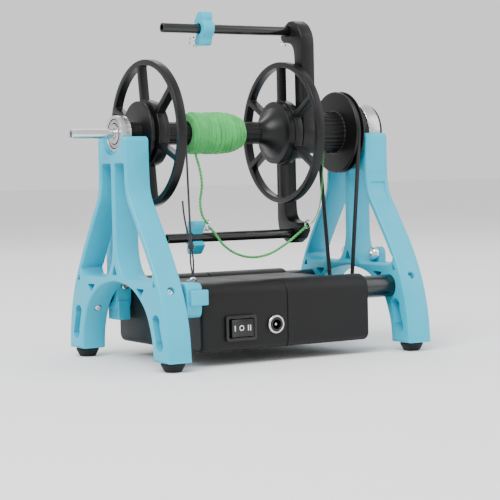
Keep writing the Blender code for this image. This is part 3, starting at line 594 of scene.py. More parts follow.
def fibre_group():
    """Hairy fibre shading for yarn and cord."""
    tree, given, out = new_group("Fibres", {"Size": 1500.0}, {"Height": "NodeSocketFloat", "Shade": "NodeSocketFloat"})
    place = node(tree, "ShaderNodeTexCoord").outputs["Object"]
    hairs = node(
        tree, "ShaderNodeTexNoise", Vector=scaled(
            tree, place, given.outputs["Size"]
        ), Scale=1.0, Detail=5.0, Distortion=1.6
    )
    slow = node(tree, "ShaderNodeTexNoise", Vector=place, Scale=130.0, Detail=4.0, Distortion=0.6)
    tree.links.new(hairs.outputs["Fac"], out.inputs["Height"])
    tree.links.new(slow.outputs["Fac"], out.inputs["Shade"])
    return tree


GROUPS = {}
MATERIALS = {}


def group_node(tree, name, **values):
    made = tree.nodes.new("ShaderNodeGroup")
    made.node_tree = GROUPS[name]
    for key, value in values.items():
        made.inputs[key.replace("_", " ")].default_value = value
    return made


def ramp(tree, factor, low, high, start=0.0, end=1.0):
    """Blends two colours by a mask."""
    made = tree.nodes.new("ShaderNodeMix")
    made.data_type = "RGBA"
    spread = node(tree, "ShaderNodeMapRange", clamp=True, From_Min=start, From_Max=end)
    tree.links.new(factor, spread.inputs["Value"])
    tree.links.new(spread.outputs[0], made.inputs[0])
    for value, socket in ((low, made.inputs[6]), (high, made.inputs[7])):
        if isinstance(value, bpy.types.NodeSocket):
            tree.links.new(value, socket)
        else:
            socket.default_value = value
    return made.outputs[2]


def spread(tree, factor, low, high, start=0.3, end=0.7):
    made = node(tree, "ShaderNodeMapRange", clamp=True, From_Min=start, From_Max=end, To_Min=low, To_Max=high)
    tree.links.new(factor, made.inputs["Value"])
    return made.outputs[0]


def bump(tree, shader, height, distance, strength=0.5):
    made = node(tree, "ShaderNodeBump", Strength=strength, Distance=distance)
    tree.links.new(height, made.inputs["Height"])
    tree.links.new(made.outputs[0], shader.inputs["Normal"])


def shaded(colour, factor):
    return (*(min(1.0, c * factor) for c in colour[:3]), 1)


def new_material(name, **values):
    made = bpy.data.materials.new(name)
    made.use_nodes = True
    shader = made.node_tree.nodes["Principled BSDF"]
    for key, value in values.items():
        shader.inputs[key.replace("_", " ")].default_value = value
    MATERIALS[name] = made
    return made.node_tree, shader


def moulded(
    name, colour, rough, contrast, wear, dust, grain=900.0, depth=0.00006, dust_colour=(0.6, 0.6, 0.6, 1), **values
):
    """Moulded plastic with grain, slow patches, rubbed edges and a little dust."""
    tree, shader = new_material(name, **values)
    marks = group_node(tree, "Moulded Grain", Grain_Size=grain)
    rubbed = group_node(tree, "Edge Wear")
    settled = group_node(tree, "Settled Dust", Amount=dust)
    base = ramp(tree, marks.outputs["Patches"], shaded(colour, 1 - contrast), shaded(colour, 1 + contrast), 0.3, 0.7)
    worn = ramp(tree, rubbed.outputs["Mask"], base, shaded(colour, wear), 0.0, 1.0)
    dusty = ramp(tree, settled.outputs["Mask"], worn, dust_colour, 0.0, 1.0)
    tree.links.new(dusty, shader.inputs["Base Color"])
    tree.links.new(spread(tree, marks.outputs["Patches"], rough - 0.06, rough + 0.07), shader.inputs["Roughness"])
    bump(tree, shader, marks.outputs["Height"], depth)


def metal(name, colour, rough, lines=2600.0, around=30.0, depth=0.00003):
    """Turned or drawn metal with fine lines."""
    tree, shader = new_material(name, Metallic=1.0)
    turning = group_node(tree, "Turning Lines", Lines=lines, Around=around)
    marks = group_node(tree, "Moulded Grain", Grain_Size=300.0, Patch_Size=120.0)
    tree.links.new(
        ramp(tree, marks.outputs["Patches"], shaded(colour, 0.86), colour, 0.3, 0.7), shader.inputs["Base Color"]
    )
    tree.links.new(spread(tree, turning.outputs["Height"], rough * 0.7, rough * 1.4), shader.inputs["Roughness"])
    bump(tree, shader, turning.outputs["Height"], depth, 0.35)


def fibrous(name, colour, dark, light, depth, size=1500.0, **values):
    """Hairy twisted fibre, with painted shade in the hollows of its fine bump."""
    tree, shader = new_material(name, **values)
    hairs = group_node(tree, "Fibres", Size=size)
    slow = ramp(tree, hairs.outputs["Shade"], shaded(colour, dark), shaded(colour, light), 0.3, 0.7)
    # painted shade: the colour goes darker where the fine fibre bump is low, in its hollows
    fine = ramp(tree, hairs.outputs["Height"], shaded(colour, dark), slow, 0.25, 0.5)
    tree.links.new(fine, shader.inputs["Base Color"])
    tree.links.new(spread(tree, hairs.outputs["Height"], 0.72, 0.95), shader.inputs["Roughness"])
    bump(tree, shader, hairs.outputs["Height"], depth, 0.8)


def build_materials():
    for name, build in (
        ("Moulded Grain", grain_group), ("Edge Wear", wear_group), ("Settled Dust", dust_group),
        ("Turning Lines", lathe_group), ("Fibres", fibre_group),
    ):
        GROUPS[name] = build()
    legs = tuple(finish().leg_colour)
    black = tuple(finish().body_colour)
    yarn = tuple(finish().yarn_colour)
    cord = tuple(finish().cord_colour)
    moulded("blue_plastic", legs, 0.42, 0.035, 1.14, 0.03, 700.0, 0.00005, (0.75, 0.8, 0.8, 1))
    moulded("black_plastic", black, 0.36, 0.12, 2.6, 0.05, 1100.0, 0.00005, (0.1, 0.1, 0.1, 1), Specular_IOR_Level=0.3)
    moulded(
        "housing_plastic", black, 0.46, 0.1, 2.4, 0.09, 1500.0, 0.00009, (0.1, 0.1, 0.1, 1), Specular_IOR_Level=0.28
    )
    moulded("switch_plastic", black, 0.3, 0.08, 2.0, 0.02, 900.0, 0.00003, (0.1, 0.1, 0.1, 1))
    moulded(
        "painted_tube", shaded(black, 0.9), 0.28, 0.1, 2.5, 0.04, 1600.0, 0.00003, (0.1, 0.1, 0.1, 1), Coat_Weight=0.25
    )
    moulded("foot_rubber", shaded(black, 0.8), 0.78, 0.15, 1.8, 0.1, 1300.0, 0.00012, (0.08, 0.08, 0.08, 1))
    moulded("belt_rubber", shaded(black, 0.7), 0.5, 0.1, 1.6, 0.03, 1700.0, 0.00005, (0.06, 0.06, 0.06, 1))
    moulded("seal_rubber", shaded(black, 1.6), 0.55, 0.1, 1.5, 0.05, 1300.0, 0.00005, (0.1, 0.1, 0.1, 1))
    moulded("mark_paint", (0.82, 0.82, 0.82, 1), 0.5, 0.04, 1.0, 0.0, 900.0, 0.00002)
    moulded("circuit_board", (0.02, 0.13, 0.045, 1), 0.35, 0.1, 1.3, 0.02, 500.0, 0.00004)
    metal("polished_steel", (0.74, 0.74, 0.75, 1), 0.2)
    metal("bearing_steel", (0.66, 0.66, 0.67, 1), 0.26, 40.0, 900.0)
    metal("shield_steel", (0.5, 0.5, 0.51, 1), 0.38, 40.0, 700.0)
    metal("bright_wire", (0.8, 0.8, 0.8, 1), 0.16, 300.0, 300.0)
    metal("motor_can", (0.42, 0.42, 0.43, 1), 0.34, 500.0, 500.0)
    fibrous("green_yarn", yarn, 0.78, 1.15, 0.00016, 1300.0, Sheen_Weight=0.12, Sheen_Roughness=0.45)
    fibrous("brake_string", cord, 0.6, 2.2, 0.00008, 1800.0, Sheen_Weight=0.25)


def use(name):
    return MATERIALS[name]


# ---------------------------------------------------------------- strands and cords

# Each route repeats the frame's own points.
PACKAGE_STRAND = [
    (-24.9, -3.2, 128.6), (-24.5, -4.0, 125.0), (-22.6, -5.2, 116), (-21.8, -5.6, 107), (-23.2, -5.4, 97),
    (-21.6, -4.8, 88.5), (-17.6, -4.2, 83.2)
]
LOOP_STRAND = [
    (-16.9, -4.0, 82.0), (-13.0, -5.0, 77), (-7.5, -6.4, 69.5), (1.0, -7.4, 63.8), (12, -8.2, 61.2), (24, -9.0, 62.8),
    (35, -10.2, 68.2),
    (45, -11.4, 75.2), (50.9, -12.0, 79.8),
]
ORIFICE_STRAND = [
    (52.0, -12.0, 80.6), (57, -11.2, 83.0), (63, -8.8, 92), (67.5, -5.4, 106), (70.5, -2.6, 119), (73.0, -0.8, 127.5),
    (76.5, 0, 134.5)
]


def metres(point):
    return tuple(c * MM for c in point)


def strand(name, points, radius, plies, pitch, body):
    """A free length of yarn, which moves with the body when that is a name and otherwise stays where it is."""
    path = smooth(points, 8)
    obj = piece(
        name, plied(path, radius, plies, pitch), use("green_yarn"), body,
        name.replace("_yarn", "_strand"), sharp=80
    )


def build_strands():
    hook = metres((-17.6, -4.2, 83.2))
    strand("package_yarn", PACKAGE_STRAND, 0.9, 2, 4.2, ("flyer", "lower_slider", metres(PACKAGE_STRAND[0]), hook))
    strand(
        "loop_yarn", LOOP_STRAND, 0.9, 2, 4.2,
        ("lower_slider", "flyer", metres(LOOP_STRAND[0]), metres(LOOP_STRAND[-1]))
    )
    strand("orifice_yarn", ORIFICE_STRAND, 0.45, 2, 2.4, "flyer")


EYE_TOP = (-53.2, -48.2, 53.2)
KNOT = (-53.0, -46.0, 71.8)


def build_brake_cord():
    x, y, z = EYE_TOP
    reach = CORE_RADIUS + 1.0
    over = [(CORD_X, reach * math.cos(a), AXIS_Z + reach * math.sin(a)) for a in round_angles(11, 165, -15)]
    rear = (PEG_SPAN[0] + 5.6, TUBE_Y - 1.5, 79.5)
    main_run = [KNOT, *over, rear]
    left_run = smooth(
        [(KNOT[0] - 0.4, KNOT[1], KNOT[2]), (x - 1.0, y + 1.0, (z + KNOT[2]) / 2), (x - 0.2, y + 0.3, z + 1.35)], 8
    )
    right_run = smooth(
        [(KNOT[0] + 0.4, KNOT[1], KNOT[2]), (x + 1.0, y + 1.2, (z + KNOT[2]) / 2), (x + 0.3, y + 0.3, z + 1.35)], 8
    )
    tail = smooth([KNOT, (-55.0, -46.4, 78), (-57.6, -46.8, 90), (-58.4, -46.8, 98.6)], 8)
    turns = []
    for lift, size in ((-1.0, 1.25), (0.0, 1.45), (1.1, 1.15)):
        turns.append([
            (KNOT[0] + size * math.cos(a), KNOT[1] + size * math.sin(a), KNOT[2] + lift + 0.5 * math.sin(a))
            for a in round_angles(21, 0, 18)
        ])
    shapes = [
        plied(main_run, 0.7, 3, 3.4), plied(left_run, 0.55, 3, 3.0), plied(right_run, 0.55, 3, 3.0),
        plied(tail, 0.6, 3, 3.2)
    ]
    shapes += [plied(turn, 0.6, 3, 3.0) for turn in turns]
    piece(
        "brake_line", joined(*shapes), use("brake_string"), ("frame", "peg", metres(KNOT), metres(EYE_TOP)),
        "brake_cord", sharp=80,
    )


def build_belt():
    distance = AXIS_Z - MOTOR_Z
    lean = math.degrees(math.asin((WHORL_BELT_RADIUS - PULLEY_BELT_RADIUS) / distance))
    top = arc((0, AXIS_Z), WHORL_BELT_RADIUS, -lean, 180 + lean, 60)
    bottom = arc((0, MOTOR_Z), PULLEY_BELT_RADIUS, 180 + lean, 360 - lean, 36)
    route = [(BELT_X, y, z) for y, z in [*top, *bottom]]
    shape = sweep(evenly([*route, route[0]], 2.5)[:-1], BELT_RADIUS, 16, True)
    piece("belt", shape, use("belt_rubber"), "frame", "drive_belt", sharp=80)


# ---------------------------------------------------------------- legs and frame

LEFT_SIDE = [(18.8, 116), (20.8, 102.5), (31, 87.5), (46.5, 65), (57.3, 46), (63.8, 26), (66.2, FOOT_HEIGHT)]
RIGHT_SIDE = [(22.8, 116), (24.9, 101), (34.5, 86.5), (49, 65), (58.3, 46), (64, 26), (66.2, FOOT_HEIGHT)]
ARCH = [(47.5, FOOT_HEIGHT), (45.5, 19.8), (37.5, 35.5), (21, 46.8), (0, 50.6)]
RIB_HALF = 2.3
FLARE_RADIUS = 13.4
FLARE_STRETCH = 1.6


def leg_outline(side, top, notch_radius, rise):
    width = side[0][0]
    mouth = math.degrees(math.asin((AXIS_Z - top) / notch_radius))
    notch = arc((0, AXIS_Z), notch_radius, -mouth, -90, 24)
    corner = arc((width - 3.0, top - 3.0), 3.0, 90, 0, 8)
    arch = [(y, z + rise * (z - FOOT_HEIGHT) / 45) for y, z in smooth(ARCH, 10)]
    half = [*reversed(notch), *corner, *smooth(side, 10), *arch]
    return [*half, *mirrored(half)[1:-1]]


def leg_pocket(side, ceiling, floor):
    outer = [p for p in inset(smooth(side, 10), 3.7) if floor + 6 < p[1] < ceiling - 3]
    width = outer[0][0]
    foot = outer[-1][0]
    top = [*arc((RIB_HALF + 2, ceiling - 2), 2, 180, 90, 6), *arc((width - 2, ceiling - 2), 2, 90, 0, 6)]
    corner = arc((foot - 2.4, floor + 4.5), 4.5, 0, -90, 8)
    middle = (RIB_HALF + FLARE_RADIUS, floor + FLARE_RADIUS * FLARE_STRETCH)
    flare = [(y, middle[1] + (z - middle[1]) * FLARE_STRETCH) for y, z in arc(middle, FLARE_RADIUS, -90, -180, 16)]
    return [*top, *outer, *corner, *flare]


def leg_recesses(rise):
    slot = [*arc((52.0, 28.8), 4.5, -18, 162, 14), *arc((56.0, 16.6), 4.5, 162, 342, 14)]
    corner = fillet([(27.5, 47.6 + rise), (33.0, 42.2 + rise), (38.3, 47.4 + rise)], 1.6)
    small = fillet([(49.0, 48.9 + rise), (52.6, 49.3 + rise), (49.4, 53.4 + rise)], 0.7)
    loops = [slot, corner, small]
    loops += [mirrored(loop) for loop in loops]
    return [*loops, fillet([(-3.4, 54.2 + rise), (3.4, 54.2 + rise), (0, 60.8 + rise)], 0.8)]


def screw_point(kind, x, distance):
    (y, z), (dy, dz), _ = SCREW_LINES[kind]
    return (x, y + dy * distance, z + dz * distance)


def leg_shape(span, side, top, notch, ceiling, rise, outward):
    """The plate of a leg and the list of shapes that are cut from it."""
    pocket = leg_pocket(side, ceiling, 52.6 + rise)
    body = plate([leg_outline(side, top, notch, rise), pocket, mirrored(pocket)], *span)
    cuts = [plate([loop], span[0] - 1, span[0] + 11, 0.02) for loop in leg_recesses(rise)]
    inner = span[1] if outward < 0 else span[0]
    for y in (-TUBE_Y, TUBE_Y):
        cuts.append(rod((inner - outward, y, TUBE_Z), (inner + outward * 13.4, y, TUBE_Z), TUBE_RADIUS + 0.15, 64))
    x = (span[0] + span[1]) / 2
    for kind in SCREW_LINES:
        cuts.append(rod(screw_point(kind, x, -3), screw_point(kind, x, 7.5), 2.4, 32))
    return body, cuts


def side_panel(side, top, bottom):
    """A shallow recess that follows the edge of a leg and fades out downwards."""
    run = [p for p in side if bottom <= p[1] <= top]
    inner = [
        inset([a, p, b], 0.95 * ((p[1] - bottom) / (top - bottom)) ** 0.6)[1] for a, p, b in zip(run, run[1:], run[2:])
    ]
    outer = inset(run, -1.5)
    return [*inner, *reversed(outer)]


def build_left_leg():
    body, cuts = leg_shape(LEFT_LEG, LEFT_SIDE, 137.5, 9.0, 121.5, 0.0, -1)
    cuts.append(rod((LEFT_LEG[0] - 1, 0, AXIS_Z), (LEFT_BEARING[1] + 0.15, 0, AXIS_Z), LEFT_BEARING_RADIUS + 0.15, 96))
    cuts.append(rod((LEFT_LEG[0] - 1, 0, AXIS_Z), (LEFT_BEARING[0] - 0.15, 0, AXIS_Z), 13.0, 96))
    piece("left_leg_moulding", body, use("blue_plastic"), "frame", "left_leg", cuts=cuts)


def build_right_leg():
    body, cuts = leg_shape(RIGHT_LEG, RIGHT_SIDE, 138.5, 18.2, 114.5, 2.0, 1)
    cuts.append(
        rod((RIGHT_LEG[0] - 1, 0, AXIS_Z), (RIGHT_BEARING[1] + 0.15, 0, AXIS_Z), RIGHT_BEARING_RADIUS + 0.15, 96)
    )
    lugs = []
    for y in LUGS.values():
        outline = [(y - 4.4, LUG_Z - 9), (y + 4.4, LUG_Z - 9), *arc((y, LUG_Z), 4.4, 0, 180, 20)]
        lugs.append(plate([outline], RIGHT_LEG[1] - 5.5, RIGHT_LEG[1] - 0.6, 0.3))
        cuts.append(rod((RIGHT_LEG[1] - 7, y, LUG_Z), (RIGHT_LEG[1] + 1, y, LUG_Z), 2.1, 32))
    panel = side_panel(smooth(RIGHT_SIDE, 12), 108.8, 91.0)
    for loop in (panel, mirrored(panel)):
        cuts.append(plate([loop], RIGHT_LEG[0] + 3.2, RIGHT_LEG[1] - 3.2, 0.02))
    for y in (-1, 1):
        low, high = sorted((y * 22.9, y * 27))
        cuts.append(block((RIGHT_LEG[0] - 1, low, 112.9), (RIGHT_LEG[1] + 1, high, 113.4), 0.02))
    piece("right_leg_moulding", body, use("blue_plastic"), "frame", "right_leg", cuts=cuts, unions=lugs)


def screw_head(centre, direction, radius, height, recess, shank, shank_radius):
    """A round screw with a socket in its head. direction runs out of the head."""
    profile = [
        (0, 0), (0, shank_radius), (shank, shank_radius), (shank, radius), (shank + height * 0.7, radius),
        (shank + height, radius * 0.82), (shank + height, 0)
    ]
    out = Vector(direction).normalized()
    start = Vector(centre) - out * (shank + height)
    turn = out.to_track_quat("Z", "Y").to_matrix()
    points, faces = turned(profile, (0, 0, 0), "Z", 40, 0.25)
    shape = [tuple(start + turn @ Vector(p)) for p in points], faces
    socket, sides = rod((0, 0, shank + height - recess[1]), (0, 0, shank + height + 1), recess[0], 6)
    cut = [tuple(start + turn @ Vector(p)) for p in socket], sides
    return shape, [cut]


def build_fasteners():
    steel = use("bright_wire")
    for leg_name, span in (("left", LEFT_LEG), ("right", RIGHT_LEG)):
        x = (span[0] + span[1]) / 2
        for kind, (_, direction, depth) in SCREW_LINES.items():
            top = screw_point(kind, x, depth)
            out = (0, -direction[0], -direction[1])
            shape, cuts = screw_head(top, out, 2.15, 2.2, (1.0, 1.2), 0.8, 1.3)
            piece(
                f"grub_screw_{leg_name}_{kind}", shape, steel, "frame",
                f"set_screw_{leg_name}_{kind}", cuts=cuts
            )
    head = RIGHT_LEG[1] - 5.5 - 0.3
    for kind, y in LUGS.items():
        shape, cuts = screw_head((head - 3.6, y, LUG_Z), (-1, 0, 0), 4.2, 3.6, (1.7, 2.0), 5.0, 2.0)
        piece(f"lug_bolt_{kind}", shape, steel, "frame", f"leg_bolt_{kind}", cuts=cuts)
    for kind, x in BASE_SCREWS.items():
        shape, cuts = screw_head((x, 0, BOX_BOTTOM + 0.1), (0, 0, -1), 2.9, 0.7, (1.1, 0.5), 4.5, 1.4)
        piece(f"base_screw_{kind}", shape, steel, "frame", f"seam_screw_{kind}", cuts=cuts)
    for kind, y in MOTOR_SCREWS.items():
        shape, cuts = screw_head((BOX_SPAN[1] + 2.1, y, MOTOR_Z), (1, 0, 0), 2.8, 1.8, (1.2, 1.0), 5.8, 1.5)
        piece(f"housing_screw_{kind}", shape, steel, "frame", f"motor_screw_{kind}", cuts=cuts)
    shape, cuts = screw_head(
        (ANCHOR_SCREW[0], TUBE_Y - 14.6, ANCHOR_SCREW[1]), (0, -1, 0), 2.8, 2.9, (1.2, 1.2), 2.8, 1.2
    )
    piece("clip_screw", shape, steel, "frame", "anchor_screw", cuts=cuts)


def pipe(start, end, inner, outer):
    return [(start, outer), (end, outer), (end, inner), (start, inner)]


def build_tubes():
    for kind, y in (("front", -TUBE_Y), ("rear", TUBE_Y)):
        shape = turned(pipe(*TUBE_SPAN, TUBE_RADIUS - 1.2, TUBE_RADIUS), (0, y, TUBE_Z), sides=72)
        piece(f"{kind}_rail", shape, use("painted_tube"), "frame", f"{kind}_tube")


def build_feet():
    profile = [
        (0, 0), (0, 2.2), (0.4, 2.4), (0.4, 3.2), (0, 3.4), (0, 4.6), (0.6, 5.3), (4.2, 7.2), (5.3, 7.2), (5.3, 0),
    ]
    for leg_name, span in (("left", LEFT_LEG), ("right", RIGHT_LEG)):
        for kind, y in (("front", -FOOT_Y), ("rear", FOOT_Y)):
            shape = turned(profile, ((span[0] + span[1]) / 2, y, 0), "Z", 48, 0.4)
            piece(
                f"foot_{leg_name}_{kind}", shape, use("foot_rubber"), "frame",
                f"rubber_foot_{leg_name}_{kind}"
            )


# ---------------------------------------------------------------- housing


def housing_section(shrink, top=BOX_TOP, bottom=BOX_BOTTOM, radius=BULGE_RADIUS, corner=5.0):
    """The section of the box, drawn in by a distance."""
    side = BOX_SIDE_Y - shrink
    floor = bottom + shrink
    round_off = max(corner - shrink, 0.6)
    bulge = radius - shrink
    crown = top - shrink - TUBE_Z
    shoulder = 180 - math.degrees(math.asin(min(crown / bulge, 1.0)))
    half = [
        *arc((side - round_off, floor + round_off), round_off, -90, 0, 8),
        *arc((TUBE_Y, TUBE_Z), bulge, 0, shoulder, 24)
    ]
    return [*half, *mirrored(half)]


def loft(sections):
    """A closed skin through sections of the same number of points: (x, loop) pairs."""
    points = []
    faces = []
    count = len(sections[0][1])
    for x, loop in sections:
        points += [(x, y, z) for y, z in loop]
    for k in range(len(sections) - 1):
        low = k * count
        high = low + count
        faces += [(low + i, low + (i + 1) % count, high + (i + 1) % count, high + i) for i in range(count)]
    faces += [tuple(range(count)), tuple(range((len(sections) - 1) * count, len(sections) * count))]
    return points, faces


def housing_skin(wall, seam):
    """Half of the box, with its outer end rounded and a fine chamfer at the seam."""
    sign = 1 if seam > wall else -1
    soft = 2.6
    sections = []
    for i in range(6, -1, -1):
        angle = math.pi / 2 * i / 6
        sections.append((wall + sign * soft * (1 - math.sin(angle)), housing_section(soft * (1 - math.cos(angle)))))
    sections += [(seam - sign * 0.45, housing_section(0)), (seam, housing_section(0.45))]
    return loft(sections)


def build_housing():
    front = -BOX_SIDE_Y
    plastic = use("housing_plastic")
    inner = housing_section(1.5, BOX_TOP - 0.5, BOX_BOTTOM + 0.7, BULGE_RADIUS, 5.0)
    halves = (
        ("left", BOX_SPAN[0], BOX_SEAM - 0.15, BOX_SPAN[0] + 2.2, BOX_SEAM + 1),
        ("right", BOX_SPAN[1], BOX_SEAM + 0.15, BOX_SEAM - 1, BOX_SPAN[1] - 2.2)
    )
    for name, wall, seam, start, end in halves:
        cuts = [loft([(start, inner), (end, inner)])]
        for y in (-TUBE_Y, TUBE_Y):
            cuts.append(rod((wall - 5, y, TUBE_Z), (wall + 5, y, TUBE_Z), TUBE_RADIUS + 0.15, 64))
        if name == "left":
            x, z = SWITCH
            hole = fillet([(x - 9.8, z - 6.7), (x + 9.8, z - 6.7), (x + 9.8, z + 6.7), (x - 9.8, z + 6.7)], 1.0)
            cuts.append(plate([hole], front - 3, front + 4, 0.02, "Y"))
            cuts.append(rod((SOCKET_X, front - 3, SOCKET_Z), (SOCKET_X, front + 4, SOCKET_Z), 4.2, 48))
            cuts.append(rod((PEDAL_X, 50, SOCKET_Z), (PEDAL_X, 58, SOCKET_Z), 4.2, 48))
        else:
            cuts.append(rod((64, 0, MOTOR_Z), (72, 0, MOTOR_Z), 6.4, 48))
            cuts += [rod((64, y, MOTOR_Z), (72, y, MOTOR_Z), 1.8, 32) for y in MOTOR_SCREWS.values()]
        cuts.append(rod((BASE_SCREWS[name], 0, BOX_BOTTOM - 1), (BASE_SCREWS[name], 0, BOX_BOTTOM + 0.9), 3.2, 40))
        piece(
            f"{name}_cover", housing_skin(wall, seam), plastic, "frame", f"{name}_housing", cuts=cuts
        )


def build_switch():
    x, z = SWITCH
    front = -BOX_SIDE_Y

    def rectangle(width, height, radius):
        return fillet(
            [(x - width, z - height), (x + width, z - height), (x + width, z + height), (x - width, z + height)],
            radius, steps=6
        )

    collar = plate([rectangle(10.6, 7.6, 1.8), rectangle(8.5, 5.6, 0.8)], front - 1.9, front - 0.3, 0.45, "Y")
    body = plate([rectangle(9.5, 6.4, 0.8)], front - 0.7, front + 13, 0.2, "Y")
    well = plate([rectangle(8.5, 5.6, 0.8)], front - 3, front + 6.4, 0.02, "Y")
    piece(
        "switch_bezel", body, use("switch_plastic"), "frame", "switch_frame", cuts=[well],
        unions=[collar]
    )
    pivot = front + 1.2
    face = [(-7.5, -4.3), (-5.5, -3.65), (-3, -3.05), (0, -2.85), (3, -3.05), (5.5, -3.65), (7.5, -4.3)]
    outline = [*face, (7.3, -1.0), (3.2, 3.4), (-3.2, 3.4), (-7.3, -1.0)]
    key = plate([fillet([(x + a, pivot + b) for a, b in outline], 0.5)], z - 5.25, z + 5.25, 0.35, "Z")
    piece("switch_key", key, use("switch_plastic"), "rocker", "rocker")
    strokes = []

    def height_at(across):
        for (a, b), (c, d) in zip(face, face[1:]):
            if a <= across <= c:
                return pivot + b + (d - b) * (across - a) / (c - a)
        return pivot + face[0][1]

    for centre in (-4.9, 4.3, 5.6):
        y = height_at(centre) - 0.02
        strokes.append(block((x + centre - 0.28, y - 0.08, z - 1.7), (x + centre + 0.28, y + 0.12, z + 1.7), 0.03))
    ring_y = height_at(0) - 0.02
    outer = [(x + a, z + b) for a, b in arc((0, 0), 1.65, 0, 350, 35)]
    inner = [(x + a, z + b) for a, b in arc((0, 0), 1.15, 0, 350, 35)]
    strokes.append(plate([outer, inner], ring_y - 0.08, ring_y + 0.1, 0.03, "Y"))
    piece("switch_marks", joined(*strokes), use("mark_paint"), "rocker")


def build_sockets():
    centre = (SOCKET_X, -BOX_SIDE_Y, SOCKET_Z)
    nut = turned([(-1.9, 4.35), (-1.9, 5.2), (-1.4, 5.6), (-0.3, 5.6), (-0.3, 4.35)], centre, "Y", 64)
    piece("socket_nut", nut, use("polished_steel"), "frame", "power_socket_nut")
    sleeve = turned([(-2.1, 2.9), (-2.1, 4.05), (11, 4.05), (11, 0.2), (8, 0.2), (8, 2.9)], centre, "Y", 64)
    piece("socket_sleeve", sleeve, use("switch_plastic"), "frame", "power_socket_sleeve")
    pin = turned([(-1.0, 0), (-1.0, 0.7), (-0.5, 1.0), (7.7, 1.0), (7.7, 0)], centre, "Y", 32)
    piece("socket_pin", pin, use("polished_steel"), "frame", "power_socket_pin")
    profile = [(-9, 0.1), (-9, 4.0), (0.3, 4.0), (0.3, 5.4), (1.5, 5.4), (1.9, 5.0), (1.9, 2.2), (-7, 2.2), (-7, 0.1)]
    pedal = turned(profile, (PEDAL_X, BOX_SIDE_Y, SOCKET_Z), "Y", 64)
    piece("pedal_jack", pedal, use("switch_plastic"), "frame", "pedal_socket")


def build_drive():
    groove = 9.4
    profile = [
        (80.8, 6.0), (81.6, 12.6), (82.4, 12.6), (82.8, groove), (86.2, groove), (86.6, 12.6), (87.4, 12.6),
        (88.2, 6.0), (88.2, 2.6),
        (80.8, 2.6),
    ]
    piece(
        "motor_pulley", turned(profile, (0, 0, MOTOR_Z), soften=0.4), use("black_plastic"), "motor_drive",
        "drive_pulley"
    )
    shaft = turned([(58.6, 0), (58.6, 2.5), (88.8, 2.5), (89.2, 2.1), (89.2, 0)], (0, 0, MOTOR_Z), sides=48)
    piece("motor_spindle", shaft, use("polished_steel"), "motor_drive", "motor_shaft")


# ---------------------------------------------------------------- flyer and bobbin


def build_bearings():
    bearings = (
        ("left", LEFT_BEARING, 3.2, LEFT_BEARING_RADIUS, 2.8), ("right", RIGHT_BEARING, 9.9, RIGHT_BEARING_RADIUS, 2.3),
    )
    for side, (start, end), bore, outer, race in bearings:
        steel = use("bearing_steel")
        big = turned(pipe(start, end, outer - 1.9, outer), soften=0.6, sides=128)
        seal = turned(pipe(start + 1.1, end - 1.1, bore + race + 0.1, outer - 1.7), soften=0.2, sides=96)
        faces = [(start + 0.45, start + 1.3), (end - 1.3, end - 0.45)]
        shield = joined(*(turned(pipe(*face, bore + race + 0.6, outer - 2.4), soften=0.3, sides=96) for face in faces))
        small = turned(pipe(start, end, bore, bore + race), soften=0.4, sides=96)
        piece(f"{side}_outer_race", big, steel, "frame", f"{side}_bearing_outer")
        piece(f"{side}_bearing_seal", seal, use("seal_rubber"), "frame")
        piece(f"{side}_bearing_shield", shield, use("shield_steel"), "frame")
        piece(f"{side}_inner_race", small, steel, "flyer", f"{side}_bearing_inner")


def arm_half():
    outer = [(-16.5, 4.1), (-16.5, 54)]
    outer += smooth([(-16.5, 56), (-15.2, 62), (-11, 67.8), (-5.5, 70.9)], 8)
    knuckle = fillet(
        [(-5.5, 70.9), (-1.0, 70.9), (5.2, 67.6), (8.4, 63.0), (8.4, 60.2), (5.4, 57.6), (1.4, 57.4)], 0.9, closed=False
    )[
        1:-1
    ]
    inner = smooth([(1.4, 57.4), (-3.6, 55.8), (-6.4, 52), (-7.2, 46)], 8)
    start = math.degrees(math.atan2(15.4, -7.2))
    return [*outer, *knuckle, *inner, *arc((0, 0), 17.0, start, -13, 30)]


def build_arm():
    half = arm_half()
    outline = [*half, *[(-y, -z) for y, z in half]]
    loops = [[(y, z + AXIS_Z) for y, z in outline], arc((0, AXIS_Z), 3.2, 0, 350, 35)]
    for offset in (ROD_OFFSET, -ROD_OFFSET):
        loops.append(arc((0, AXIS_Z + offset), ROD_RADIUS + 0.1, 0, 350, 35))
    piece("flyer_bar", plate(loops, *ARM_SPAN, 0.7), use("black_plastic"), "flyer", "flyer_arm")
    for name, offset in (("upper", ROD_OFFSET), ("lower", -ROD_OFFSET)):
        shape = turned(pipe(*ROD_SPAN, 2.0, ROD_RADIUS), (0, 0, AXIS_Z + offset), sides=48)
        piece(f"{name}_side_rod", shape, use("painted_tube"), "flyer", f"{name}_rod")
    x = sum(ARM_SPAN) / 2
    for name, sign in (("lower", -1), ("upper", 1)):
        y = sign * 12.0
        z = AXIS_Z + sign * 59.0
        loop = [(x, y + 2.9 * math.cos(a), z + 2.9 * math.sin(a)) for a in round_angles(40)]
        piece(
            f"{name}_bar_ring", sweep(loop, 0.6, 12, True), use("bright_wire"), "flyer",
            f"{name}_arm_eye", sharp=80
        )


def build_shaft():
    shape = turned(pipe(*SHAFT_SPAN, SHAFT_BORE, SHAFT_RADIUS), soften=0.4, sides=64)
    piece("shaft", shape, use("polished_steel"), "flyer", "flyer_shaft")


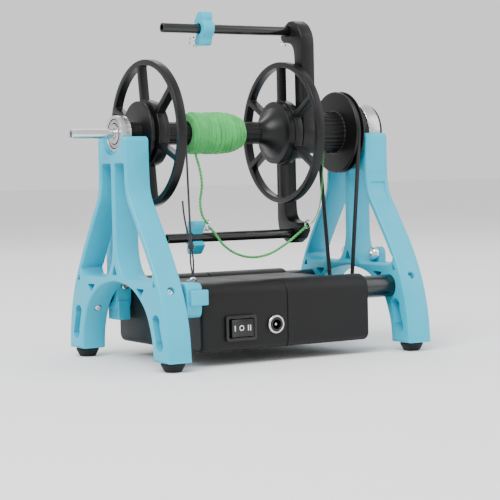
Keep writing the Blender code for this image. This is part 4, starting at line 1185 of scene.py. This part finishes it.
def build_whorl():
    flutes = detail().flutes

    def fluted(angle, station, radius):
        if 57.2 < station < 81.0 and radius > 12:
            return radius - 0.55 * (0.5 - 0.5 * math.cos(flutes * angle)) ** 3
        return radius

    profile = [
        (56.5, 12.6), (57.3, 13.5), (80.7, 13.5), (81.2, 14.2), (81.2, 25.8), (81.9, 26.4), (82.6, 26.4), (82.8, 22.5),
        (86.2, 22.5),
        (86.4, 26.4), (86.9, 26.4), (87.5, 25.8), (87.5, 17.9), (89.6, 17.9), (90.4, 16.2), (91.6, 16.2), (92.4, 17.9),
        (95.9, 17.9),
        (95.9, 9.75), (105.2, 9.75), (105.2, ORIFICE_RADIUS), (62.5, ORIFICE_RADIUS), (62.5, 3.1), (56.5, 3.1),
    ]
    window = rod((73.0, 0, AXIS_Z - 20), (73.0, 0, AXIS_Z + 20), 5.5, 48)
    shape = turned(profile, sides=flutes * 12, soften=0.35, wave=fluted)
    piece("whorl", shape, use("black_plastic"), "flyer", "drive_whorl", cuts=[window])
    end = turned(
        [(105.5, ORIFICE_RADIUS), (105.5, 17.5), (107.4, 17.5), (107.4, 9.0), (106.9, ORIFICE_RADIUS)], soften=0.5
    )
    piece("orifice_cap", end, use("black_plastic"), "flyer", "orifice_ring")


def spoked_disc(span, lean=0.0):
    """A rim and its spokes, with rounded edges."""
    step = 360 / SPOKES
    inner = DRUM_RADIUS + 0.8
    outer = FLANGE_RADIUS - 3.6
    loops = [arc((0, AXIS_Z), FLANGE_RADIUS, 0, 357.5, 143), arc((0, AXIS_Z), 14.0, 0, 352.5, 47)]
    for i in range(SPOKES):
        middle = step * i + lean
        half_in = step / 2 - math.degrees(math.asin(SPOKE_HALF / inner))
        half_out = step / 2 - math.degrees(math.asin(SPOKE_HALF / outer))
        low = arc((0, 0), inner, middle - half_in, middle + half_in, 12)
        high = arc((0, 0), outer, middle + half_out, middle - half_out, 16)
        loops.append([(y, z + AXIS_Z) for y, z in fillet([*low, *high], 2.0)])
    return plate(loops, *span, 0.55)


def build_flanges():
    def lobed(angle, station, radius):
        return radius - 0.5 * (0.5 - 0.5 * math.cos(8 * angle)) ** 2 if station < -64 and radius > 5 else radius

    drum = [
        (-70.6, 6.4), (-70.2, 7.0), (-63.3, 7.0), (-63.3, 19.2), (-62.8, DRUM_RADIUS), (-61.4, DRUM_RADIUS),
        (-60.6, 16.4), (-59.2, 16.4),
        (-58.6, DRUM_RADIUS), (-50.8, DRUM_RADIUS), (-50.8, BOBBIN_BORE), (-70.6, BOBBIN_BORE),
    ]
    left = turned(drum, sides=96, soften=0.35, wave=lobed)
    piece(
        "left_wheel", spoked_disc(LEFT_FLANGE, LEFT_FLANGE_LEAN), use("black_plastic"), "bobbin",
        "left_flange", unions=[left]
    )
    flare = [(22 + 12.0 * i / 12, CORE_RADIUS + 9.0 * (i / 12) ** 2.0) for i in range(13)]
    trumpet = [*flare, (34.4, DRUM_RADIUS), (44.2, DRUM_RADIUS), (44.2, BOBBIN_BORE), (22, BOBBIN_BORE)]
    right = turned(trumpet, sides=96, soften=0.35)
    piece(
        "right_wheel", spoked_disc(RIGHT_FLANGE), use("black_plastic"), "bobbin", "right_flange",
        unions=[right]
    )

    def ribbed(angle, station, radius):
        return radius - 0.4 * (0.5 - 0.5 * math.cos(12 * angle)) ** 3 if radius > 5 else radius

    core = turned(pipe(-50.5, 21.7, BOBBIN_BORE, CORE_RADIUS), sides=144, wave=ribbed)
    piece("core", core, use("black_plastic"), "bobbin", "bobbin_core")


def package_radius(x):
    """How far out the wound yarn reaches along the core."""
    known = [
        (-29.3, 11.0), (-28.2, 12.6), (-25.5, 13.4), (-18, 13.1), (-9, 13.4), (-1, 12.9), (4.6, 11.7), (8, 10.1),
        (9.8, 8.4)
    ]
    for (a, low), (b, high) in zip(known, known[1:]):
        if x <= b:
            return low + (high - low) * max(0.0, (x - a) / (b - a))
    return known[-1][1]


def wound_layer(start, end, turns, sink, phase, yarn):
    """One layer of yarn wound from start to end, lying unevenly."""
    steps = int(abs(turns) * 30)
    route = []
    for i in range(steps + 1):
        t = i / steps
        angle = phase + 2 * math.pi * turns * t
        x = start + (end - start) * t
        x += 0.55 * noise.noise(Vector((x * 0.3 + sink, math.cos(angle) * 0.9, math.sin(angle) * 0.9)))
        bulk = 0.35 * noise.noise(Vector((x * 0.22, math.cos(angle) * 0.8 + 3, math.sin(angle) * 0.8)))
        reach = package_radius(x) - yarn / 2 - sink + bulk
        route.append((x, reach * math.cos(angle), AXIS_Z + reach * math.sin(angle)))
    return sweep(route, yarn / 2, 7)


def build_yarn_package():
    yarn = detail().yarn / MM
    profile = [
        (-29.0, 10.6), (-27.8, 11.6), (-25, 12.1), (-9, 12.1), (-1, 11.5), (4.6, 10.2), (8, 8.6), (9.4, 7.6),
        (9.4, 7.2), (-29.0, 7.2)
    ]
    shapes = [turned(profile, soften=0.8, sides=64)]
    low = -28.4
    high = 9.0
    even = (high - low) / (yarn * 0.93)
    shapes.append(wound_layer(low, high, even, 0.75, 0.0, yarn))
    for index, (start, end, turns) in enumerate(
        ((high, low, 9.5), (low, high, 7.5), (high - 1, low + 2, 11.5), (low + 1, high - 6, 6.5))
    ):
        shapes.append(wound_layer(start, end, turns if index % 2 else -turns, 0.28 - 0.06 * index, 1.3 * index, yarn))
    piece("wound_yarn", joined(*shapes), use("green_yarn"), "bobbin", "yarn_package", sharp=80)


# ---------------------------------------------------------------- hooks and clips

HOOK_OUTLINE = [
    (4.6, -6.5), (5.2, -9.4), (3.4, -10.4), (-3.4, -10.4), (-4.4, -6.4), (-6.4, -3.8), (-8.0, -1.4), (-8.2, 1.6),
    (-7.0, 3.6),
    (-4.9, 4.6), (-5.6, 7.0), (-4.8, 10.4), (0.6, 10.4), (3.4, 7.2), (5.6, 4.6),
]


def eye(centre, radius, tail):
    x, y, z = centre
    angles = [math.radians(12 + 336 * i / 36) for i in range(37)]
    loop = [(x, y + radius * math.sin(a), z - radius * math.cos(a)) for a in angles]
    return sweep([tail, (x, tail[1], tail[2]), *loop], 0.55, 12)


def build_hooks():
    for name, sign in (("upper", 1), ("lower", -1)):
        start = HOOK_STARTS[name]
        bore = arc((0, 0), ROD_RADIUS + 0.15, 42, 318, 40)
        outline = [*fillet(HOOK_OUTLINE, 1.4, closed=False), *bore]
        loop = [(sign * y, AXIS_Z + sign * (ROD_OFFSET + z)) for y, z in outline]
        shape = plate([loop], start, start + HOOK_WIDTH, 0.6)
        piece(f"{name}_sliding_hook", shape, use("blue_plastic"), f"{name}_slider", f"{name}_hook")
    lower_end = HOOK_STARTS["lower"] + HOOK_WIDTH + 0.3
    upper_end = HOOK_STARTS["upper"] - 0.3
    lower = eye((lower_end + 2.4, -3.4, 82.6), 3.2, (lower_end - 0.8, -3.4, 79.4))
    upper = eye((upper_end - 2.4, 3.4, 2 * AXIS_Z - 82.6), 3.2, (upper_end + 0.8, 3.4, 2 * AXIS_Z - 85.8))
    piece("lower_hook_ring", lower, use("bright_wire"), "lower_slider", "lower_hook_eye", sharp=80)
    piece("upper_hook_ring", upper, use("bright_wire"), "upper_slider", "upper_hook_eye", sharp=80)


def clip_outline(sign):
    """The section of a clip round a tube, about the tube's centre."""
    bore = arc((0, 0), TUBE_RADIUS + 0.15, 62, 298, 48)
    body = [
        (3.6, -9.6), (0, -10.6), (-8.5, -10.8), (-10.4, -8.8), (-11.4, -3.6), (-11.4, 7.2), (-9.4, 9.4), (0, 9.8),
        (3.6, 9.4)
    ]
    rounded = fillet(body, 1.2, closed=False)
    return [(sign * y, z) for y, z in [*rounded, *bore]]


def build_peg():
    loop = [(y - TUBE_Y, z + TUBE_Z) for y, z in clip_outline(1)]
    front = -TUBE_Y - 11.4
    tab = block((PEG_SPAN[0] + 1.5, front - 3.2, 37.6), (-49.4, front + 0.4, 46.6), 0.7)
    piece(
        "tension_clip", plate([loop], *PEG_SPAN, 0.7), use("blue_plastic"), "peg", "tension_peg",
        unions=[tab]
    )
    x, y, z = EYE_TOP
    foot = TUBE_Z + 9.8 + 0.3 + 0.4
    hoop = [
        (x - 2.4, y + 3.0, foot), (x - 2.3, y + 1.3, foot + 0.1), (x - 1.5, y + 0.3, foot + 1.0), (x, y, z),
        (x + 1.5, y + 0.3, foot + 1.0), (x + 2.3, y + 1.3, foot + 0.1), (x + 2.4, y + 3.0, foot),
    ]
    piece(
        "tension_clip_eye", sweep(smooth(hoop, 6), 0.65, 12), use("bright_wire"), "peg",
        "tension_peg_eye", sharp=80
    )


def build_anchor():
    loop = [(-y + TUBE_Y, z + TUBE_Z) for y, z in clip_outline(-1)]
    foot = block((PEG_SPAN[0] + 0.8, TUBE_Y - 11.4, 23.5), (PEG_SPAN[1] - 0.8, TUBE_Y - 8.2, 42.0), 0.5)
    saddle = block((PEG_SPAN[0] + 0.8, TUBE_Y - 10.4, 23.5), (PEG_SPAN[1] - 0.8, TUBE_Y + 3.0, 33.2), 0.5)
    seam = block((PEG_SPAN[0] - 1, TUBE_Y - 13, 35.6), (PEG_SPAN[1] + 1, TUBE_Y - 10.9, 36.0), 0.02)
    base = block((PEG_SPAN[0] + 0.6, TUBE_Y - 3.4, 49.6), (PEG_SPAN[0] + 3.8, TUBE_Y + 3.0, 51.4), 0.2)
    post = [(TUBE_Y - 3.4, 50.0), (TUBE_Y + 3.4, 50.0), (TUBE_Y + 3.0, 80), (TUBE_Y - 1.0, 83.5), (TUBE_Y - 3.0, 80)]
    fin = plate([fillet(post, 1.0)], PEG_SPAN[0] + 0.6, PEG_SPAN[0] + 3.8, 0.5)
    piece(
        "rear_clip", plate([loop], *PEG_SPAN, 0.6), use("blue_plastic"), "frame", "rear_anchor",
        unions=[foot, saddle, base, fin],
        cuts=[seam, rod((ANCHOR_SCREW[0], 30, ANCHOR_SCREW[1]), (ANCHOR_SCREW[0], 37.2, ANCHOR_SCREW[1]), 1.4, 32)],
    )


# ---------------------------------------------------------------- what stays from the frame


def finish_kept_nodes():
    for name, material in (
        ("motor", "motor_can"), ("circuit_board", "circuit_board"), ("seam_strip", "polished_steel")
    ):
        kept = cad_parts[name]
        kept.material_slots[0].material = use(material)


# ---------------------------------------------------------------- stage


def aim(obj, target):
    obj.rotation_euler = (Vector(target) - obj.location).to_track_quat("-Z", "Y").to_euler()


CAMERA_PLACE = (-0.52446, -0.89411, 0.11367)
CAMERA_TURN = -31.07
CAMERA_LIFT = 1.02
CAMERA_ROLL = -1.24
CAMERA_SHIFT = (-0.00145, 0.02837)


def build_camera():
    """Turned a little to one side and rolled by about a degree."""
    azimuth = math.radians(CAMERA_TURN)
    height = math.radians(CAMERA_LIFT)
    roll = math.radians(CAMERA_ROLL)
    back = Vector((math.sin(azimuth) * math.cos(height), -math.cos(azimuth) * math.cos(height), math.sin(height)))
    right = Vector((math.cos(azimuth), math.sin(azimuth), 0))
    up = back.cross(right)
    across = right * math.cos(roll) + up * math.sin(roll)
    above = up * math.cos(roll) - right * math.sin(roll)
    back = (back + across * CAMERA_SHIFT[0] + above * CAMERA_SHIFT[1]).normalized()
    across = (across - back * across.dot(back)).normalized()
    above = back.cross(across)
    camera_data = bpy.data.cameras.new("camera")
    camera_data.lens = stage_settings().lens
    camera_data.clip_end = 50
    camera = bpy.data.objects.new("camera", camera_data)
    turn = Matrix((across, above, back)).transposed().to_4x4()
    camera.matrix_world = Matrix.Translation(CAMERA_PLACE) @ turn
    bpy.context.scene.collection.objects.link(camera)
    bpy.context.scene.camera = camera


def area_light(name, place, target, size, power):
    light = bpy.data.lights.new(name, "AREA")
    light.shape = "RECTANGLE"
    light.size, light.size_y = size
    light.energy = power
    obj = bpy.data.objects.new(name, light)
    obj.location = place
    bpy.context.scene.collection.objects.link(obj)
    aim(obj, target)


def build_stage():
    settings = stage_settings()
    mesh = bpy.data.meshes.new("floor")
    reach = 14.0
    mesh.from_pydata(
        [(-reach, -reach, 0), (reach, -reach, 0), (reach, reach, 0), (-reach, reach, 0)], [], [(0, 1, 2, 3)]
    )
    floor = bpy.data.objects.new("floor", mesh)
    bpy.context.scene.collection.objects.link(floor)
    tree, shader = new_material("floor_paper", Roughness=0.9)
    grain = group_node(tree, "Moulded Grain", Grain_Size=60.0, Patch_Size=3.0)
    tint = tuple(settings.floor_colour)
    tree.links.new(
        ramp(tree, grain.outputs["Patches"], shaded(tint, 0.99), shaded(tint, 1.01), 0.3, 0.7),
        shader.inputs["Base Color"]
    )
    mesh.materials.append(MATERIALS["floor_paper"])
    world = bpy.data.worlds.new("studio")
    bpy.context.scene.world = world
    world.use_nodes = True
    world.node_tree.nodes["Background"].inputs["Color"].default_value = (1, 1, 1, 1)
    world.node_tree.nodes["Background"].inputs["Strength"].default_value = 1.05
    area_light("key_light", (-0.9, -0.7, 1.5), (0, 0, 0.1), (1.2, 1.2), settings.key)
    area_light("fill_light", (1.3, -0.9, 0.9), (0, 0, 0.1), (1.0, 1.4), settings.fill)
    area_light("back_light", (0.4, 1.3, 1.3), (0, 0, 0.12), (1.4, 0.6), settings.fill)


# ---------------------------------------------------------------- operators


class BuildStep(bpy.types.Operator):
    """Base of the building steps."""

    bl_options = {"REGISTER", "UNDO"}
    steps = ()

    def execute(self, context):
        for step in self.steps:
            step()
        return {"FINISHED"}


class WHEEL_OT_materials(BuildStep):
    """Makes the shared node groups and every material."""

    bl_idname = "wheel.materials"
    bl_label = "Materials"
    steps = (build_materials,)


class WHEEL_OT_stage(BuildStep):
    """Makes the camera, floor and lights."""

    bl_idname = "wheel.stage"
    bl_label = "Stage"
    steps = (build_camera, build_stage)


class WHEEL_OT_cords(BuildStep):
    """Makes the free strands, the brake cord and the belt."""

    bl_idname = "wheel.cords"
    bl_label = "Strands, Brake Cord and Belt"
    steps = (build_strands, build_brake_cord, build_belt)


class WHEEL_OT_legs(BuildStep):
    """Makes both legs."""

    bl_idname = "wheel.legs"
    bl_label = "Legs"
    steps = (build_left_leg, build_right_leg)


class WHEEL_OT_frame(BuildStep):
    """Makes the rails, the feet and every screw."""

    bl_idname = "wheel.frame"
    bl_label = "Rails, Feet and Screws"
    steps = (build_tubes, build_feet, build_fasteners)


class WHEEL_OT_housing(BuildStep):
    """Makes the motor box with its switch and sockets."""

    bl_idname = "wheel.housing"
    bl_label = "Motor Box"
    steps = (build_housing, build_switch, build_sockets, build_drive, finish_kept_nodes)


class WHEEL_OT_flyer(BuildStep):
    """Makes the bearings, shaft, bar, whorl and orifice."""

    bl_idname = "wheel.flyer"
    bl_label = "Flyer"
    steps = (build_bearings, build_shaft, build_arm, build_whorl)


class WHEEL_OT_bobbin(BuildStep):
    """Makes the bobbin and the yarn wound on it."""

    bl_idname = "wheel.bobbin"
    bl_label = "Bobbin and Yarn"
    steps = (build_flanges, build_yarn_package)


class WHEEL_OT_clips(BuildStep):
    """Makes the sliding hooks, the tension clip and the rear clip."""

    bl_idname = "wheel.clips"
    bl_label = "Hooks and Clips"
    steps = (build_hooks, build_peg, build_anchor)


OPERATORS = (
    WHEEL_OT_materials, WHEEL_OT_stage, WHEEL_OT_cords, WHEEL_OT_legs, WHEEL_OT_frame, WHEEL_OT_housing, WHEEL_OT_flyer,
    WHEEL_OT_bobbin, WHEEL_OT_clips,
)
SETTINGS = {"wheel_finish": WheelFinish, "wheel_detail": WheelDetail, "wheel_stage": WheelStage}


class WHEEL_PT_panel(bpy.types.Panel):
    """Lists the settings and the building steps."""

    bl_idname = "WHEEL_PT_panel"
    bl_label = "Spinning Wheel"
    bl_space_type = "VIEW_3D"
    bl_region_type = "UI"
    bl_category = "Spinning Wheel"

    def draw(self, context):
        for name, group in SETTINGS.items():
            values = getattr(context.scene, name)
            for key in group.__annotations__:
                self.layout.prop(values, key)
        for operator in OPERATORS:
            self.layout.operator(operator.bl_idname)


def register():
    for group in SETTINGS.values():
        bpy.utils.register_class(group)
    for name, group in SETTINGS.items():
        setattr(bpy.types.Scene, name, bpy.props.PointerProperty(type=group))
    for operator in OPERATORS:
        bpy.utils.register_class(operator)
    bpy.utils.register_class(WHEEL_PT_panel)


def unregister():
    bpy.utils.unregister_class(WHEEL_PT_panel)
    for operator in reversed(OPERATORS):
        bpy.utils.unregister_class(operator)
    for name in SETTINGS:
        delattr(bpy.types.Scene, name)
    for group in reversed(SETTINGS.values()):
        bpy.utils.unregister_class(group)


def main():
    register()
    for operator in OPERATORS:
        category, name = operator.bl_idname.split(".")
        getattr(getattr(bpy.ops, category), name)()


if __name__ == "__main__":
    main()
